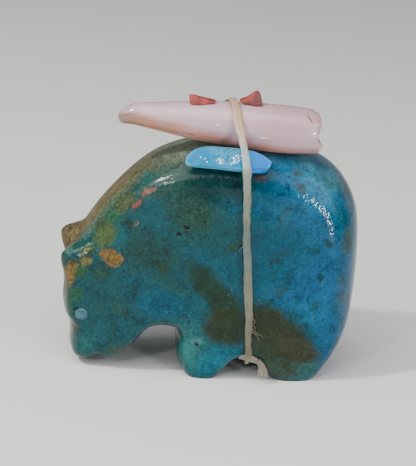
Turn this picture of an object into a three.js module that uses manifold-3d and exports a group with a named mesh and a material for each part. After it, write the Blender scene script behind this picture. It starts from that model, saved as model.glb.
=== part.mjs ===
// A small bear carved from one piece of blue-green stone, with an offering bundle tied on its back:
// a point of pink shell, a turquoise bead and two red chips, under one turn of sinew with a knot.
// Lengths are in millimetres. The bear looks towards -X, its left flank is towards -Y and +Z is up.
import * as THREE from "three";
import { ConvexGeometry } from "three/addons/geometries/ConvexGeometry.js";
import { mergeVertices } from "three/addons/utils/BufferGeometryUtils.js";
import Module from "manifold-3d";

// Driving dimensions of the bear
const bodyLength = 42; // from forehead to rump
const bodyThickness = 18; // across the ribs
const headShare = 0.57; // the head's thickness, as a share of the ribs' thickness
const rumpLoss = 0.2; // share of the thickness that is lost towards the rump
const footLoss = 0.15; // share that is lost towards the feet
const backLoss = 0.1; // share that is lost towards the back
const edgeRounding = 1.8; // width of the rounded edge along head, throat and feet
const backRounding = 4.8; // width of the rounded edge along back and rump
const earGroove = 1.5; // depth of the hollow between the ears
const earRise = [1.2, 2]; // how far the left and the right ear stand up from the crown
const earSwelling = 0.7; // how far an ear stands out of the cheek
const footGroove = 2.2; // depth of the hollow between the left and right feet
const eyeWidth = 1.65;
const eyeDepth = 0.9; // how deep the inlaid eye goes into the stone
const eyeProud = 0.05; // how far the eye stands out
const eyeClearance = 0.08; // between the eye and its socket, all round

// Driving dimensions of the bundle
const shellLength = 27.8;
const shellWidth = 6.3; // at the thick end
const beadLength = 11.6;
const beadHeight = 3.3;
const beadDepth = 2.8;
const frontChipSize = [3.6, 2.2, 1.3]; // length, depth and height
const rearChipSize = [3, 2.2, 1.9];
const sinewWidth = 1; // along the bear
const sinewThickness = 0.65; // it is pressed flat against what it holds
const strandWidth = 0.62; // each of the two cut ends below the knot
const tailLength = 3.1;
const restingGap = 0.08; // left between two pieces that touch

const manifold = await Module();
manifold.setup();
const smooth = (from, to, x) => THREE.MathUtils.smoothstep(x, from, to);
const material = (color, roughness) => new THREE.MeshStandardMaterial({ color, roughness, metalness: 0 });

// A named mesh
function piece(name, geometry, surface) {
  const mesh = new THREE.Mesh(geometry, surface);
  mesh.name = name;
  return mesh;
}

// A geometry with its shared vertices merged, from a list of points and a list of triangles
function geometryOf(positions, triangles) {
  const geometry = new THREE.BufferGeometry();
  geometry.setAttribute("position", new THREE.Float32BufferAttribute(positions, 3));
  geometry.setIndex(triangles);
  geometry.computeVertexNormals();
  return geometry;
}

// The closed solid of a mesh where it stands
function solidOf(mesh) {
  mesh.updateMatrix();
  const bare = new THREE.BufferGeometry();
  bare.setAttribute("position", mesh.geometry.getAttribute("position").clone());
  bare.setIndex(mesh.geometry.getIndex());
  const merged = mergeVertices(bare.applyMatrix4(mesh.matrix), 1e-4);
  return new manifold.Manifold(
    new manifold.Mesh({
      numProp: 3,
      vertProperties: merged.getAttribute("position").array,
      triVerts: new Uint32Array(merged.getIndex().array),
    }),
  );
}

// Several meshes as one solid
function joined(meshes) {
  return meshes.map(solidOf).reduce((all, next) => all.add(next));
}

// The geometry of a solid that was joined or cut
function geometryOfSolid(solid) {
  const mesh = solid.getMesh();
  const positions = [];
  for (let i = 0; i < mesh.numVert; i++) {
    positions.push(...mesh.vertProperties.slice(i * mesh.numProp, i * mesh.numProp + 3));
  }
  return geometryOf(positions, Array.from(mesh.triVerts));
}

// Slides a mesh along a direction until it would cut its neighbours, then draws it back by the resting gap
function settle(mesh, direction, reach, neighbours) {
  const fixed = joined(neighbours);
  const start = mesh.position.clone();
  let clear = 0;
  let cutting = reach;
  const halvings = 18;
  for (let i = 0; i < halvings; i++) {
    const tried = (clear + cutting) / 2;
    mesh.position.copy(start).addScaledVector(direction, tried);
    if (solidOf(mesh).intersect(fixed).isEmpty()) {
      clear = tried;
    } else {
      cutting = tried;
    }
  }
  mesh.position.copy(start).addScaledVector(direction, clear - restingGap);
}

// The bear's outline from the side, in percent of its length: x from the forehead, z from the ground.
// The feet reach a little below the ground, because they are ground flat there.
const outline = [
  [1.9, 38.6], [1.4, 29], [2.5, 17.8], // forehead and brow
  [4, 15.1], [4.5, 6], [6.3, 2.1], // muzzle
  [12.8, 1.7], [14.8, 3.5], [16.2, 2.1], // chin and mouth
  [19.8, 2.5], [27.4, 9.4], [30.2, 13.5], [33.3, 16], // jaw and throat
  [40.4, 15.4], [40.2, 11.6], [41.4, 2.7], [44.4, -1.7], // front of the forelegs
  [48.1, -3], [53, -3], [56.9, 0.6], [62.6, 6.3], // forefeet and belly
  [71.2, 0.7], [76.4, -3], [83.1, -3.3], [88, -1.2], [91.7, 3.3], // hind feet
  [98.7, 18.9], [99.6, 52.7], [97.3, 62.3], [91.9, 70], [83.7, 75.1], // rump
  [72.6, 77.9], [47.6, 78.2], [37.1, 75.4], [28.1, 70.4], [15, 57.3], [6.2, 45], // back to nape
];
const stepsPerPoint = 3;
const heart = [48, 45]; // the place on the flank that the rows of facets close in on, in percent
const flankRows = 15;
const percent = bodyLength / 100;

const rim = new THREE.CatmullRomCurve3(
  outline.map(([x, z]) => new THREE.Vector3(x, 0, z).multiplyScalar(percent)),
  true,
  "centripetal",
)
  .getPoints(stepsPerPoint * outline.length)
  .slice(0, -1);

// A soft distance from the outline: (half the integral over the outline of 1 / r^3) to the power -1/2.
// Along a straight edge it is the plain distance, and it has no crease in the middle.
function rimDistance(x, z) {
  const softening = 1e-4;
  let total = 0;
  rim.forEach((from, i) => {
    const to = rim[(i + 1) % rim.length];
    const length = from.distanceTo(to);
    const dx = (to.x - from.x) / length;
    const dz = (to.z - from.z) / length;
    const along = (x - from.x) * dx + (z - from.z) * dz;
    const aside = ((x - from.x) * dz - (z - from.z) * dx) ** 2 + softening;
    const near = -along / Math.sqrt(aside + along ** 2);
    const far = (length - along) / Math.sqrt(aside + (length - along) ** 2);
    total += (far - near) / aside;
  });
  return (total / 2) ** -0.5;
}

// Half the bear's thickness at a place of its side view: full at the ribs, less at head, rump, feet and back,
// and rounded off towards the outline as a superellipse.
// Each pair of shares of the length says where a change begins and ends.
function halfThickness(x, z) {
  const u = x / bodyLength;
  const v = z / bodyLength;
  const lengthwise = headShare + (1 - headShare) * smooth(-0.1, 0.5, u) - rumpLoss * smooth(0.65, 1.1, u);
  const upwards = 1 - footLoss * (1 - smooth(0, 0.21, v)) - backLoss * smooth(0.52, 0.86, v);
  const soft = smooth(0.19, 0.57, u) * smooth(0.05, 0.33, v);
  const rounding = THREE.MathUtils.lerp(edgeRounding, backRounding, soft);
  const power = 2.4;
  const inward = Math.min(rimDistance(x, z) / rounding, 1);
  const edge = (1 - (1 - inward) ** power) ** (1 / power);
  return (bodyThickness / 2) * lengthwise * upwards * edge;
}

// The ears: a ridge on each cheek, a tip on each side of the crown, and a hollow between the tips
const ear = {
  place: new THREE.Vector2(4.6, 40.4).multiplyScalar(percent),
  slope: THREE.MathUtils.degToRad(38),
  length: 6.5 * percent,
  width: 2.9 * percent,
  tipAside: 0.31 * bodyThickness,
  tipWidth: 0.12 * bodyThickness,
  tipReach: 0.1 * bodyLength,
  hollowWidth: 0.14 * bodyThickness,
  hollowReach: 0.17 * bodyLength,
};
function earRidge(x, z) {
  const out = new THREE.Vector2(x, z).sub(ear.place).rotateAround(new THREE.Vector2(), -ear.slope);
  return earSwelling * Math.exp(-((out.x / ear.length) ** 2) - (out.y / ear.width) ** 2);
}
const crown = new THREE.Vector2(1.6, 39).multiplyScalar(percent); // where the forehead meets the nape
const crownInward = new THREE.Vector2(0.86, -0.51); // the direction in which the hollow goes into the head
function crownDent(x, y, z) {
  const distance = crown.distanceTo(new THREE.Vector2(x, z));
  const hollow = Math.exp(-((y / ear.hollowWidth) ** 2)) * (1 - smooth(0, ear.hollowReach, distance));
  const aside = (Math.abs(y) - ear.tipAside) / ear.tipWidth;
  const tip = Math.exp(-(aside ** 2)) * (1 - smooth(0, ear.tipReach, distance));
  return earGroove * hollow - earRise[y < 0 ? 0 : 1] * tip;
}

// How far the underside is lifted by the hollow between the left and the right feet
const footHollow = { width: 0.095 * bodyThickness, top: 0.155 * bodyLength, front: 0.31 * bodyLength };
function footLift(x, y, z) {
  const under = 1 - smooth(0, footHollow.top, z);
  const behindThroat = smooth(-0.05, 0.05, (x - footHollow.front) / bodyLength);
  return footGroove * Math.exp(-((y / footHollow.width) ** 2)) * under * behindThroat;
}

// A point of the bear's surface: a place of the side view, carried out to one flank, with its hollows
function bodyPoint(x, z, side) {
  const half = halfThickness(x, z);
  const share = half / (0.5 * bodyThickness);
  const y = side * (half + earRidge(x, z) * smooth(0.2, 0.5, share));
  const dent = crownDent(x, y, z);
  return [x + crownInward.x * dent, y, Math.max(z + crownInward.y * dent + footLift(x, y, z), 0)];
}

// The bear: rows of points from the outline in to the heart, on both flanks
function bearGeometry() {
  const count = rim.length;
  const centre = new THREE.Vector3(heart[0], 0, heart[1]).multiplyScalar(percent);
  const crowding = 2.6; // the rows are closer at the rounded edge
  const positions = [];
  const triangles = [];
  rim.forEach((p) => positions.push(...bodyPoint(p.x, p.z, 0)));
  for (const side of [-1, 1]) {
    const first = positions.length / 3;
    for (let row = 1; row < flankRows; row++) {
      const share = (row / flankRows) ** crowding;
      rim.forEach((p) => {
        const q = p.clone().lerp(centre, share);
        positions.push(...bodyPoint(q.x, q.z, side));
      });
    }
    const pole = positions.length / 3;
    positions.push(...bodyPoint(centre.x, centre.z, side));
    for (let row = 0; row < flankRows; row++) {
      for (let i = 0; i < count; i++) {
        const next = (i + 1) % count;
        const outer = row === 0 ? 0 : first + (row - 1) * count;
        const inner = first + row * count;
        const corners = [outer + i, outer + next, inner + next, inner + i];
        if (row === flankRows - 1) {
          corners.splice(2, 2, pole);
        }
        if (side > 0) {
          corners.reverse();
        }
        for (let k = 2; k < corners.length; k++) {
          triangles.push(corners[0], corners[k - 1], corners[k]);
        }
      }
    }
  }
  return geometryOf(positions, triangles);
}

// The eyes: round inlays, each in a blind socket square to the cheek
const eyePlace = [8.4 * percent, 19.9 * percent];
function eyeFrame(side) {
  const [x, z] = eyePlace;
  const step = 0.05 * percent;
  const centre = new THREE.Vector3(...bodyPoint(x, z, side));
  const lengthwise = new THREE.Vector3(...bodyPoint(x + step, z, side)).sub(centre);
  const upwards = new THREE.Vector3(...bodyPoint(x, z + step, side)).sub(centre);
  const outward = lengthwise.cross(upwards).multiplyScalar(-side).normalize();
  return { centre, outward };
}
function eyeDisc(name, side, width, depth, proud) {
  const { centre, outward } = eyeFrame(side);
  const sides = 24;
  const disc = new THREE.CylinderGeometry(width / 2, width / 2, depth + proud, sides);
  const mesh = piece(name, disc, material(0x5b93ad, 0.2));
  mesh.quaternion.setFromUnitVectors(new THREE.Vector3(0, 1, 0), outward);
  mesh.position.copy(centre).addScaledVector(outward, (proud - depth) / 2);
  return mesh;
}
const eyes = [
  eyeDisc("eye_left", -1, eyeWidth, eyeDepth, eyeProud),
  eyeDisc("eye_right", 1, eyeWidth, eyeDepth, eyeProud),
];
const socketMouth = eyeWidth; // how far the cutting tool starts outside the cheek
let bear = solidOf(piece("blank", bearGeometry(), material(0x256f8c, 0.3)));
for (const side of [-1, 1]) {
  const width = eyeWidth + 2 * eyeClearance;
  bear = bear.subtract(solidOf(eyeDisc("socket", side, width, eyeDepth + eyeClearance, socketMouth)));
}
const bearBody = piece("bear_body", geometryOfSolid(bear), material(0x256f8c, 0.3));

// The shell point: a tapering spindle, turned and then bent, with a broken end.
// Its profile is share of the length against share of the width.
const shellProfile = [
  [0, 0], [0.002, 0.1], [0.012, 0.25], [0.035, 0.36], [0.085, 0.47], [0.2, 0.6], [0.3, 0.71], [0.43, 0.85],
  [0.57, 0.95], [0.7, 0.99], [0.82, 1], [0.92, 0.97], [0.97, 0.91], [0.995, 0.78], [1, 0.6], [1, 0],
];
function shellGeometry() {
  const sides = 24;
  const profile = shellProfile.map(
    ([along, wide]) => new THREE.Vector2((wide * shellWidth) / 2, along * shellLength),
  );
  const geometry = new THREE.LatheGeometry(profile, sides);
  geometry.rotateZ(-Math.PI / 2); // the turning axis now runs along +X
  const position = geometry.getAttribute("position");
  const tipDroop = 0.09 * shellWidth;
  const breakDepth = 0.12 * shellWidth;
  for (let i = 0; i < position.count; i++) {
    const along = position.getX(i) / shellLength;
    const up = position.getZ(i) / (0.5 * shellWidth);
    const droop = tipDroop * (1 - smooth(0, 0.09, along));
    const dent = breakDepth * smooth(0.98, 1, along) * Math.exp(-(((up + 0.15) / 0.3) ** 2));
    position.setX(i, position.getX(i) - dent);
    position.setZ(i, position.getZ(i) - droop);
  }
  geometry.deleteAttribute("normal");
  geometry.deleteAttribute("uv");
  const closed = mergeVertices(geometry, 1e-4);
  return closed;
}
const shellPoint = piece("shell_point", shellGeometry(), material(0xd8c4cc, 0.25));
const shellDip = THREE.MathUtils.degToRad(3); // the thick end lies lower than the tip
const shellAside = -0.19 * bodyThickness; // it lies nearer the left flank
const shellTip = 18.7 * percent;
shellPoint.rotation.set(0, shellDip, 0);
shellPoint.position.set(shellTip, shellAside, bodyLength);
settle(shellPoint, new THREE.Vector3(0, 0, -1), 0.3 * bodyLength, [bearBody]);

// The bead: a long nugget cut with flat faces, widest at its girdle and smaller at its front and back tables.
// Its corners are shares of half its length and half its height.
const beadCorners = [
  [-1, -0.2], [-0.85, 0.55], [-0.5, 1], [0.19, 0.97], [0.52, 0.83], [0.81, 0.42],
  [1, 0], [0.98, -0.4], [0.87, -0.9], [0.67, -1], [-0.97, -0.62],
];
function beadGeometry() {
  const girdle = 0.28; // share of half the depth
  const table = 0.62; // share of the girdle's height
  const points = [];
  for (const [x, z] of beadCorners) {
    for (const side of [-1, 1]) {
      const length = beadLength / 2;
      const height = beadHeight / 2;
      const depth = (side * beadDepth) / 2;
      points.push(new THREE.Vector3(x * length, depth * girdle, z * height));
      points.push(new THREE.Vector3(x * length * 0.8, depth, z * height * table));
    }
  }
  return new ConvexGeometry(points);
}
const turquoiseBead = piece("turquoise_bead", beadGeometry(), material(0x58b7e0, 0.25));
const beadLean = THREE.MathUtils.degToRad(-18); // it leans back on the shoulder
const beadMiddle = 54.2 * percent;
const beadRise = 77.2 * percent;
turquoiseBead.rotation.set(beadLean, 0, 0);
turquoiseBead.position.set(beadMiddle, -bodyThickness, beadRise);
settle(turquoiseBead, new THREE.Vector3(0, 1, 0), bodyThickness, [bearBody, shellPoint]);

// The red chips: two broken flakes, thick at the outer end, lying on the shell beside the sinew.
// Each corner is a share of the length, the depth and the height.
const chipCorners = [
  [-0.5, -0.35, -0.5], [-0.5, 0.3, -0.5], [-0.5, -0.25, 0.35], [-0.42, 0.4, 0.4], [-0.3, -0.1, 0.5],
  [0, -0.5, -0.42], [0.05, 0.5, -0.45], [0.1, 0.2, 0.2], [0.5, -0.15, -0.35], [0.5, 0.15, -0.2],
];
const chipAside = -0.14 * shellWidth; // they lie a little to the left of the shell's ridge
const frontChipPlace = 45.1 * percent;
const rearChipPlace = 60.9 * percent;
function chip(name, size, facing, along) {
  const points = chipCorners.map(
    ([x, y, z]) => new THREE.Vector3(facing * x * size[0], y * size[1], z * size[2]),
  );
  const mesh = piece(name, new ConvexGeometry(points), material(0xa8463f, 0.5));
  mesh.rotation.set(0, shellDip, 0);
  mesh.position.set(along, shellAside + chipAside, shellPoint.position.z + shellWidth);
  settle(mesh, new THREE.Vector3(0, 0, -1), 2 * shellWidth, [shellPoint]);
  return mesh;
}
const redChips = [
  chip("red_chip_front", frontChipSize, 1, frontChipPlace),
  chip("red_chip_rear", rearChipSize, -1, rearChipPlace),
];

// The sinew lies in one plane, which leans back and is turned a little: x = foot + turn * y + lean * z
const sinewFoot = 63.6 * percent;
const sinewTurn = -0.16;
const sinewLean = -0.11;
const sinewNormal = new THREE.Vector3(1, -sinewTurn, -sinewLean).normalize();
const sinewAcross = new THREE.Vector3(sinewTurn, 1, 0).normalize();
const sinewUp = new THREE.Vector3().crossVectors(sinewNormal, sinewAcross);
const sinewOrigin = new THREE.Vector3(sinewFoot, 0, 0);

// Where a mesh's edges pass through a plane beside the sinew's own, as flat points (across, up)
function sectionPoints(mesh, aside) {
  const bare = mesh.geometry.index ? mesh.geometry.toNonIndexed() : mesh.geometry.clone();
  mesh.updateMatrix();
  const position = bare.applyMatrix4(mesh.matrix).getAttribute("position");
  const points = [];
  for (let i = 0; i < position.count; i++) {
    const from = new THREE.Vector3().fromBufferAttribute(position, i).sub(sinewOrigin);
    const next = i % 3 === 2 ? i - 2 : i + 1;
    const to = new THREE.Vector3().fromBufferAttribute(position, next).sub(sinewOrigin);
    const a = from.dot(sinewNormal) - aside;
    const b = to.dot(sinewNormal) - aside;
    if (a < 0 !== b < 0) {
      const crossing = from.lerp(to, a / (a - b));
      points.push(new THREE.Vector2(crossing.dot(sinewAcross), crossing.dot(sinewUp)));
    }
  }
  return points;
}

// The tightest line round a set of flat points, counterclockwise
function tightLine(points) {
  const sorted = [...points].sort((a, b) => a.x - b.x || a.y - b.y);
  const turns = (a, b, c) => (b.x - a.x) * (c.y - a.y) - (b.y - a.y) * (c.x - a.x);
  const chain = (list) => {
    const kept = [];
    for (const point of list) {
      while (kept.length > 1 && turns(kept.at(-2), kept.at(-1), point) <= 1e-6) {
        kept.pop();
      }
      kept.push(point);
    }
    return kept.slice(0, -1);
  };
  return [...chain(sorted), ...chain(sorted.reverse())];
}

// The sinew's middle line: the tightest line round the bear and its bundle,
// set off by half its thickness and the gap
function sinewLine() {
  const held = [bearBody, shellPoint, turquoiseBead];
  const planes = [-sinewWidth / 2, 0, sinewWidth / 2];
  const wrapped = tightLine(planes.flatMap((aside) => held.flatMap((mesh) => sectionPoints(mesh, aside))));
  const offset = sinewThickness / 2 + restingGap;
  const roundSteps = 20;
  const widened = wrapped.flatMap((p) =>
    Array.from({ length: roundSteps }, (_, k) => {
      const angle = (2 * Math.PI * k) / roundSteps;
      return new THREE.Vector2(offset * Math.cos(angle), offset * Math.sin(angle)).add(p);
    }),
  );
  const corners = tightLine(widened);
  const longest = 2.5; // no straight step of the line is longer
  const shortest = 0.15;
  const line = [];
  corners.forEach((from, i) => {
    const to = corners[(i + 1) % corners.length];
    const steps = Math.ceil(from.distanceTo(to) / longest);
    if (from.distanceTo(to) < shortest) {
      return;
    }
    for (let k = 0; k < steps; k++) {
      line.push(from.clone().lerp(to, k / steps));
    }
  });
  return line;
}
const sinewSides = 8;
const place = (flat) =>
  sinewOrigin.clone().addScaledVector(sinewAcross, flat.x).addScaledVector(sinewUp, flat.y);

// The closed turn of sinew: a round section carried along its middle line
function sinewTurnGeometry(line) {
  const positions = [];
  const triangles = [];
  line.forEach((flat, i) => {
    const before = line[(i + line.length - 1) % line.length];
    const after = line[(i + 1) % line.length];
    const run = after.clone().sub(before).normalize();
    const outward = new THREE.Vector3().addScaledVector(sinewAcross, run.y).addScaledVector(sinewUp, -run.x);
    for (let k = 0; k < sinewSides; k++) {
      const angle = (2 * Math.PI * k) / sinewSides;
      const point = place(flat)
        .addScaledVector(outward, (sinewThickness / 2) * Math.cos(angle))
        .addScaledVector(sinewNormal, (sinewWidth / 2) * Math.sin(angle));
      positions.push(...point.toArray());
      const here = i * sinewSides + k;
      const aside = i * sinewSides + ((k + 1) % sinewSides);
      const ahead = ((i + 1) % line.length) * sinewSides;
      triangles.push(here, ahead + k, ahead + ((k + 1) % sinewSides));
      triangles.push(here, ahead + ((k + 1) % sinewSides), aside);
    }
  });
  return geometryOf(positions, triangles);
}

// One cut end: a thin tube from the knot that hangs in front of the hind leg, clear of the stone
const tailRun = new THREE.Vector2(0.6, -0.8); // it hangs down and a little backwards
function cutEnd(knot, spread) {
  const radius = strandWidth / 2;
  const points = [];
  const steps = 4;
  for (let k = 0; k <= steps; k++) {
    const share = k / steps;
    const x = knot.x + tailRun.x * tailLength * share ** 0.8 + spread * share;
    const z = knot.z + tailRun.y * tailLength * share ** 1.3;
    const stone = halfThickness(x, Math.max(z, 0)) + radius + restingGap;
    points.push(new THREE.Vector3(x, k === 0 ? knot.y : Math.min(-stone, knot.y), z));
  }
  const section = new THREE.Shape().absarc(0, 0, radius, 0, 2 * Math.PI);
  const path = new THREE.CatmullRomCurve3(points);
  return new THREE.ExtrudeGeometry(section, { steps: 8, extrudePath: path, curveSegments: 4 });
}

// The whole tie: the turn, the knot on the left flank just above the belly, and the cut ends
const knotHeight = 10.4 * percent;
const knotShares = new THREE.Vector3(1.25, 0.62, 0.6); // half its sizes, as shares of the sinew's width
const knotTilt = THREE.MathUtils.degToRad(12);
const tailSpread = 0.35; // share of a strand's width
function sinewTie() {
  const line = sinewLine();
  const surface = material(0xc9bfa4, 0.7);
  const awayFromKnot = (p) => Math.abs(p.y - knotHeight) + (p.x > 0 ? bodyLength : 0);
  const corner = line.reduce((best, p) => (awayFromKnot(p) < awayFromKnot(best) ? p : best));
  const knot = piece("knot", new THREE.SphereGeometry(sinewWidth, 14, 10), surface);
  knot.scale.copy(knotShares);
  knot.rotation.set(0, knotTilt, 0);
  knot.position.copy(place(corner));
  const tails = [-tailSpread, tailSpread].map((spread) =>
    piece("tail", cutEnd(knot.position, spread * strandWidth), surface),
  );
  const ends = piece("ends", geometryOfSolid(joined([knot, ...tails])), surface);
  ends.position.y = -bodyThickness / 2;
  settle(ends, new THREE.Vector3(0, 1, 0), bodyThickness, [bearBody]);
  const turn = piece("turn", sinewTurnGeometry(line), surface);
  return piece("sinew_tie", geometryOfSolid(joined([turn, ends])), surface);
}

const bundle = new THREE.Group();
bundle.add(shellPoint, turquoiseBead, ...redChips, sinewTie());
const figure = new THREE.Group();
figure.add(bearBody, ...eyes, bundle);

// The origin is on the ground under the middle of the whole figure
const box = new THREE.Box3().setFromObject(figure, true);
const middle = box.getCenter(new THREE.Vector3());
figure.position.set(-middle.x, -middle.y, 0);

const fetish = new THREE.Group();
fetish.add(figure);
export default fetish;
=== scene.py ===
import math

import bpy
import numpy as np
from mathutils import Matrix, Vector


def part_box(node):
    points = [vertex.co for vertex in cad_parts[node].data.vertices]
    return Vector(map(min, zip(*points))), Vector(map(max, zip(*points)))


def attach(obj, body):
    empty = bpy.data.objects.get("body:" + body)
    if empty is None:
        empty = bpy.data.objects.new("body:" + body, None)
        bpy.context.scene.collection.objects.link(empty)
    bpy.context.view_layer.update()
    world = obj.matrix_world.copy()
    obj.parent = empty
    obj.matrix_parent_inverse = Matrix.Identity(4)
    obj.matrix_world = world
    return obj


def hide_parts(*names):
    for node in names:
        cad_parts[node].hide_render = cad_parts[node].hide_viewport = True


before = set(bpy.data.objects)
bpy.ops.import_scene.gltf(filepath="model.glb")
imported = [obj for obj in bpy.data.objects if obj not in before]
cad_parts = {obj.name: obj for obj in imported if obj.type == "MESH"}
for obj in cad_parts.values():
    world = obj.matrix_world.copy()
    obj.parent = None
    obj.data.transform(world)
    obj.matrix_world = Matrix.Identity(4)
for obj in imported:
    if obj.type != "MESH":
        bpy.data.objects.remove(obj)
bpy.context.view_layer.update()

mm = 0.001  # the shapes are worked out in millimetres
print("frame loaded")


# Camera, light and ground

shot = {
    "azimuth": -2.5,  # degrees; 0 looks along +Y
    "elevation": 18,
    "roll": 3.4,
    "distance": 230,  # mm from the target
    "target": (-0.08, 0.5, 19.2),
    "lens": 125.3,
    "sensor": 36,  # mm, the picture's longer side
}


# The way from a target to a place at an azimuth and an elevation in degrees
def directionOf(azimuth, elevation):
    turn, lift = math.radians(azimuth), math.radians(elevation)
    return Vector((math.sin(turn) * math.cos(lift), -math.cos(turn) * math.cos(lift), math.sin(lift)))


# Puts camera or light data at a place, looking against a direction, turned about its own axis in degrees
def aim(name, data, place, direction, turn):
    made = bpy.data.objects.new(name, data)
    bpy.context.scene.collection.objects.link(made)
    made.location = place
    made.rotation_mode = "QUATERNION"
    spin = Matrix.Rotation(math.radians(turn), 3, "Z").to_quaternion()
    made.rotation_quaternion = (-direction).to_track_quat("-Z", "Y") @ spin
    return made


# The camera at the photo's own angle
def makeCamera():
    data = bpy.data.cameras.new("camera")
    data.lens = shot["lens"]
    data.sensor_width = shot["sensor"]
    data.clip_start = 0.01
    data.clip_end = 10
    back = directionOf(shot["azimuth"], shot["elevation"])
    place = (Vector(shot["target"]) + back * shot["distance"]) * mm
    bpy.context.scene.camera = aim("camera", data, place, back, shot["roll"])


makeCamera()

studio = {
    "ground": (0.72, 0.71, 0.69),
    "groundHalf": 3000,  # mm
    "groundRoughness": 0.85,
    "world": (0.95, 0.97, 1.0),
    "worldStrength": 0.3,
    "centre": (0, 0, 20),  # mm, what the lights look at
    # azimuth, elevation and turn about its own axis in degrees, distance and size in mm, watts
    "lights": {
        "leftBox": {"azimuth": -60, "elevation": 48, "turn": 0,
                    "distance": 420, "size": (22, 22), "power": 1.15},
        "rightBox": {"azimuth": 34.5, "elevation": 4.6, "turn": -14,
                     "distance": 260, "size": (11, 44), "power": 0.28},
        "sideBox": {"azimuth": 45, "elevation": 35, "turn": 0,
                    "distance": 520, "size": (420, 420), "power": 1.2},
        "frontBox": {"azimuth": -30, "elevation": 24, "turn": 0,
                     "distance": 520, "size": (26, 26), "power": 0.45},
        "topBox": {"azimuth": -35, "elevation": 57, "turn": 0,
                   "distance": 520, "size": (560, 560), "power": 3},
    },
}


# An even pale world and large and small soft boxes
def makeStudio():
    world = bpy.data.worlds.new("studio")
    world.use_nodes = True
    background = world.node_tree.nodes["Background"]
    background.inputs["Color"].default_value = (*studio["world"], 1)
    background.inputs["Strength"].default_value = studio["worldStrength"]
    bpy.context.scene.world = world
    for name, box in studio["lights"].items():
        light = bpy.data.lights.new(name, "AREA")
        light.shape = "RECTANGLE"
        light.size, light.size_y = (length * mm for length in box["size"])
        light.energy = box["power"]
        away = directionOf(box["azimuth"], box["elevation"])
        place = (Vector(studio["centre"]) + away * box["distance"]) * mm
        aim(name, light, place, away, box["turn"])


makeStudio()
print("camera and studio ready")


# Shader writing: sockets that can be added, subtracted and multiplied

class Wire:
    def __init__(self, maker, socket):
        self.maker = maker
        self.socket = socket

    def sum(self, operation, *values):
        return self.maker.add("ShaderNodeMath", {"operation": operation}, dict(enumerate(values)))

    def __add__(self, other):
        return self.sum("ADD", self, other)

    def __radd__(self, other):
        return self.sum("ADD", other, self)

    def __sub__(self, other):
        return self.sum("SUBTRACT", self, other)

    def __rsub__(self, other):
        return self.sum("SUBTRACT", other, self)

    def __mul__(self, other):
        return self.sum("MULTIPLY", self, other)

    def __rmul__(self, other):
        return self.sum("MULTIPLY", other, self)


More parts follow.
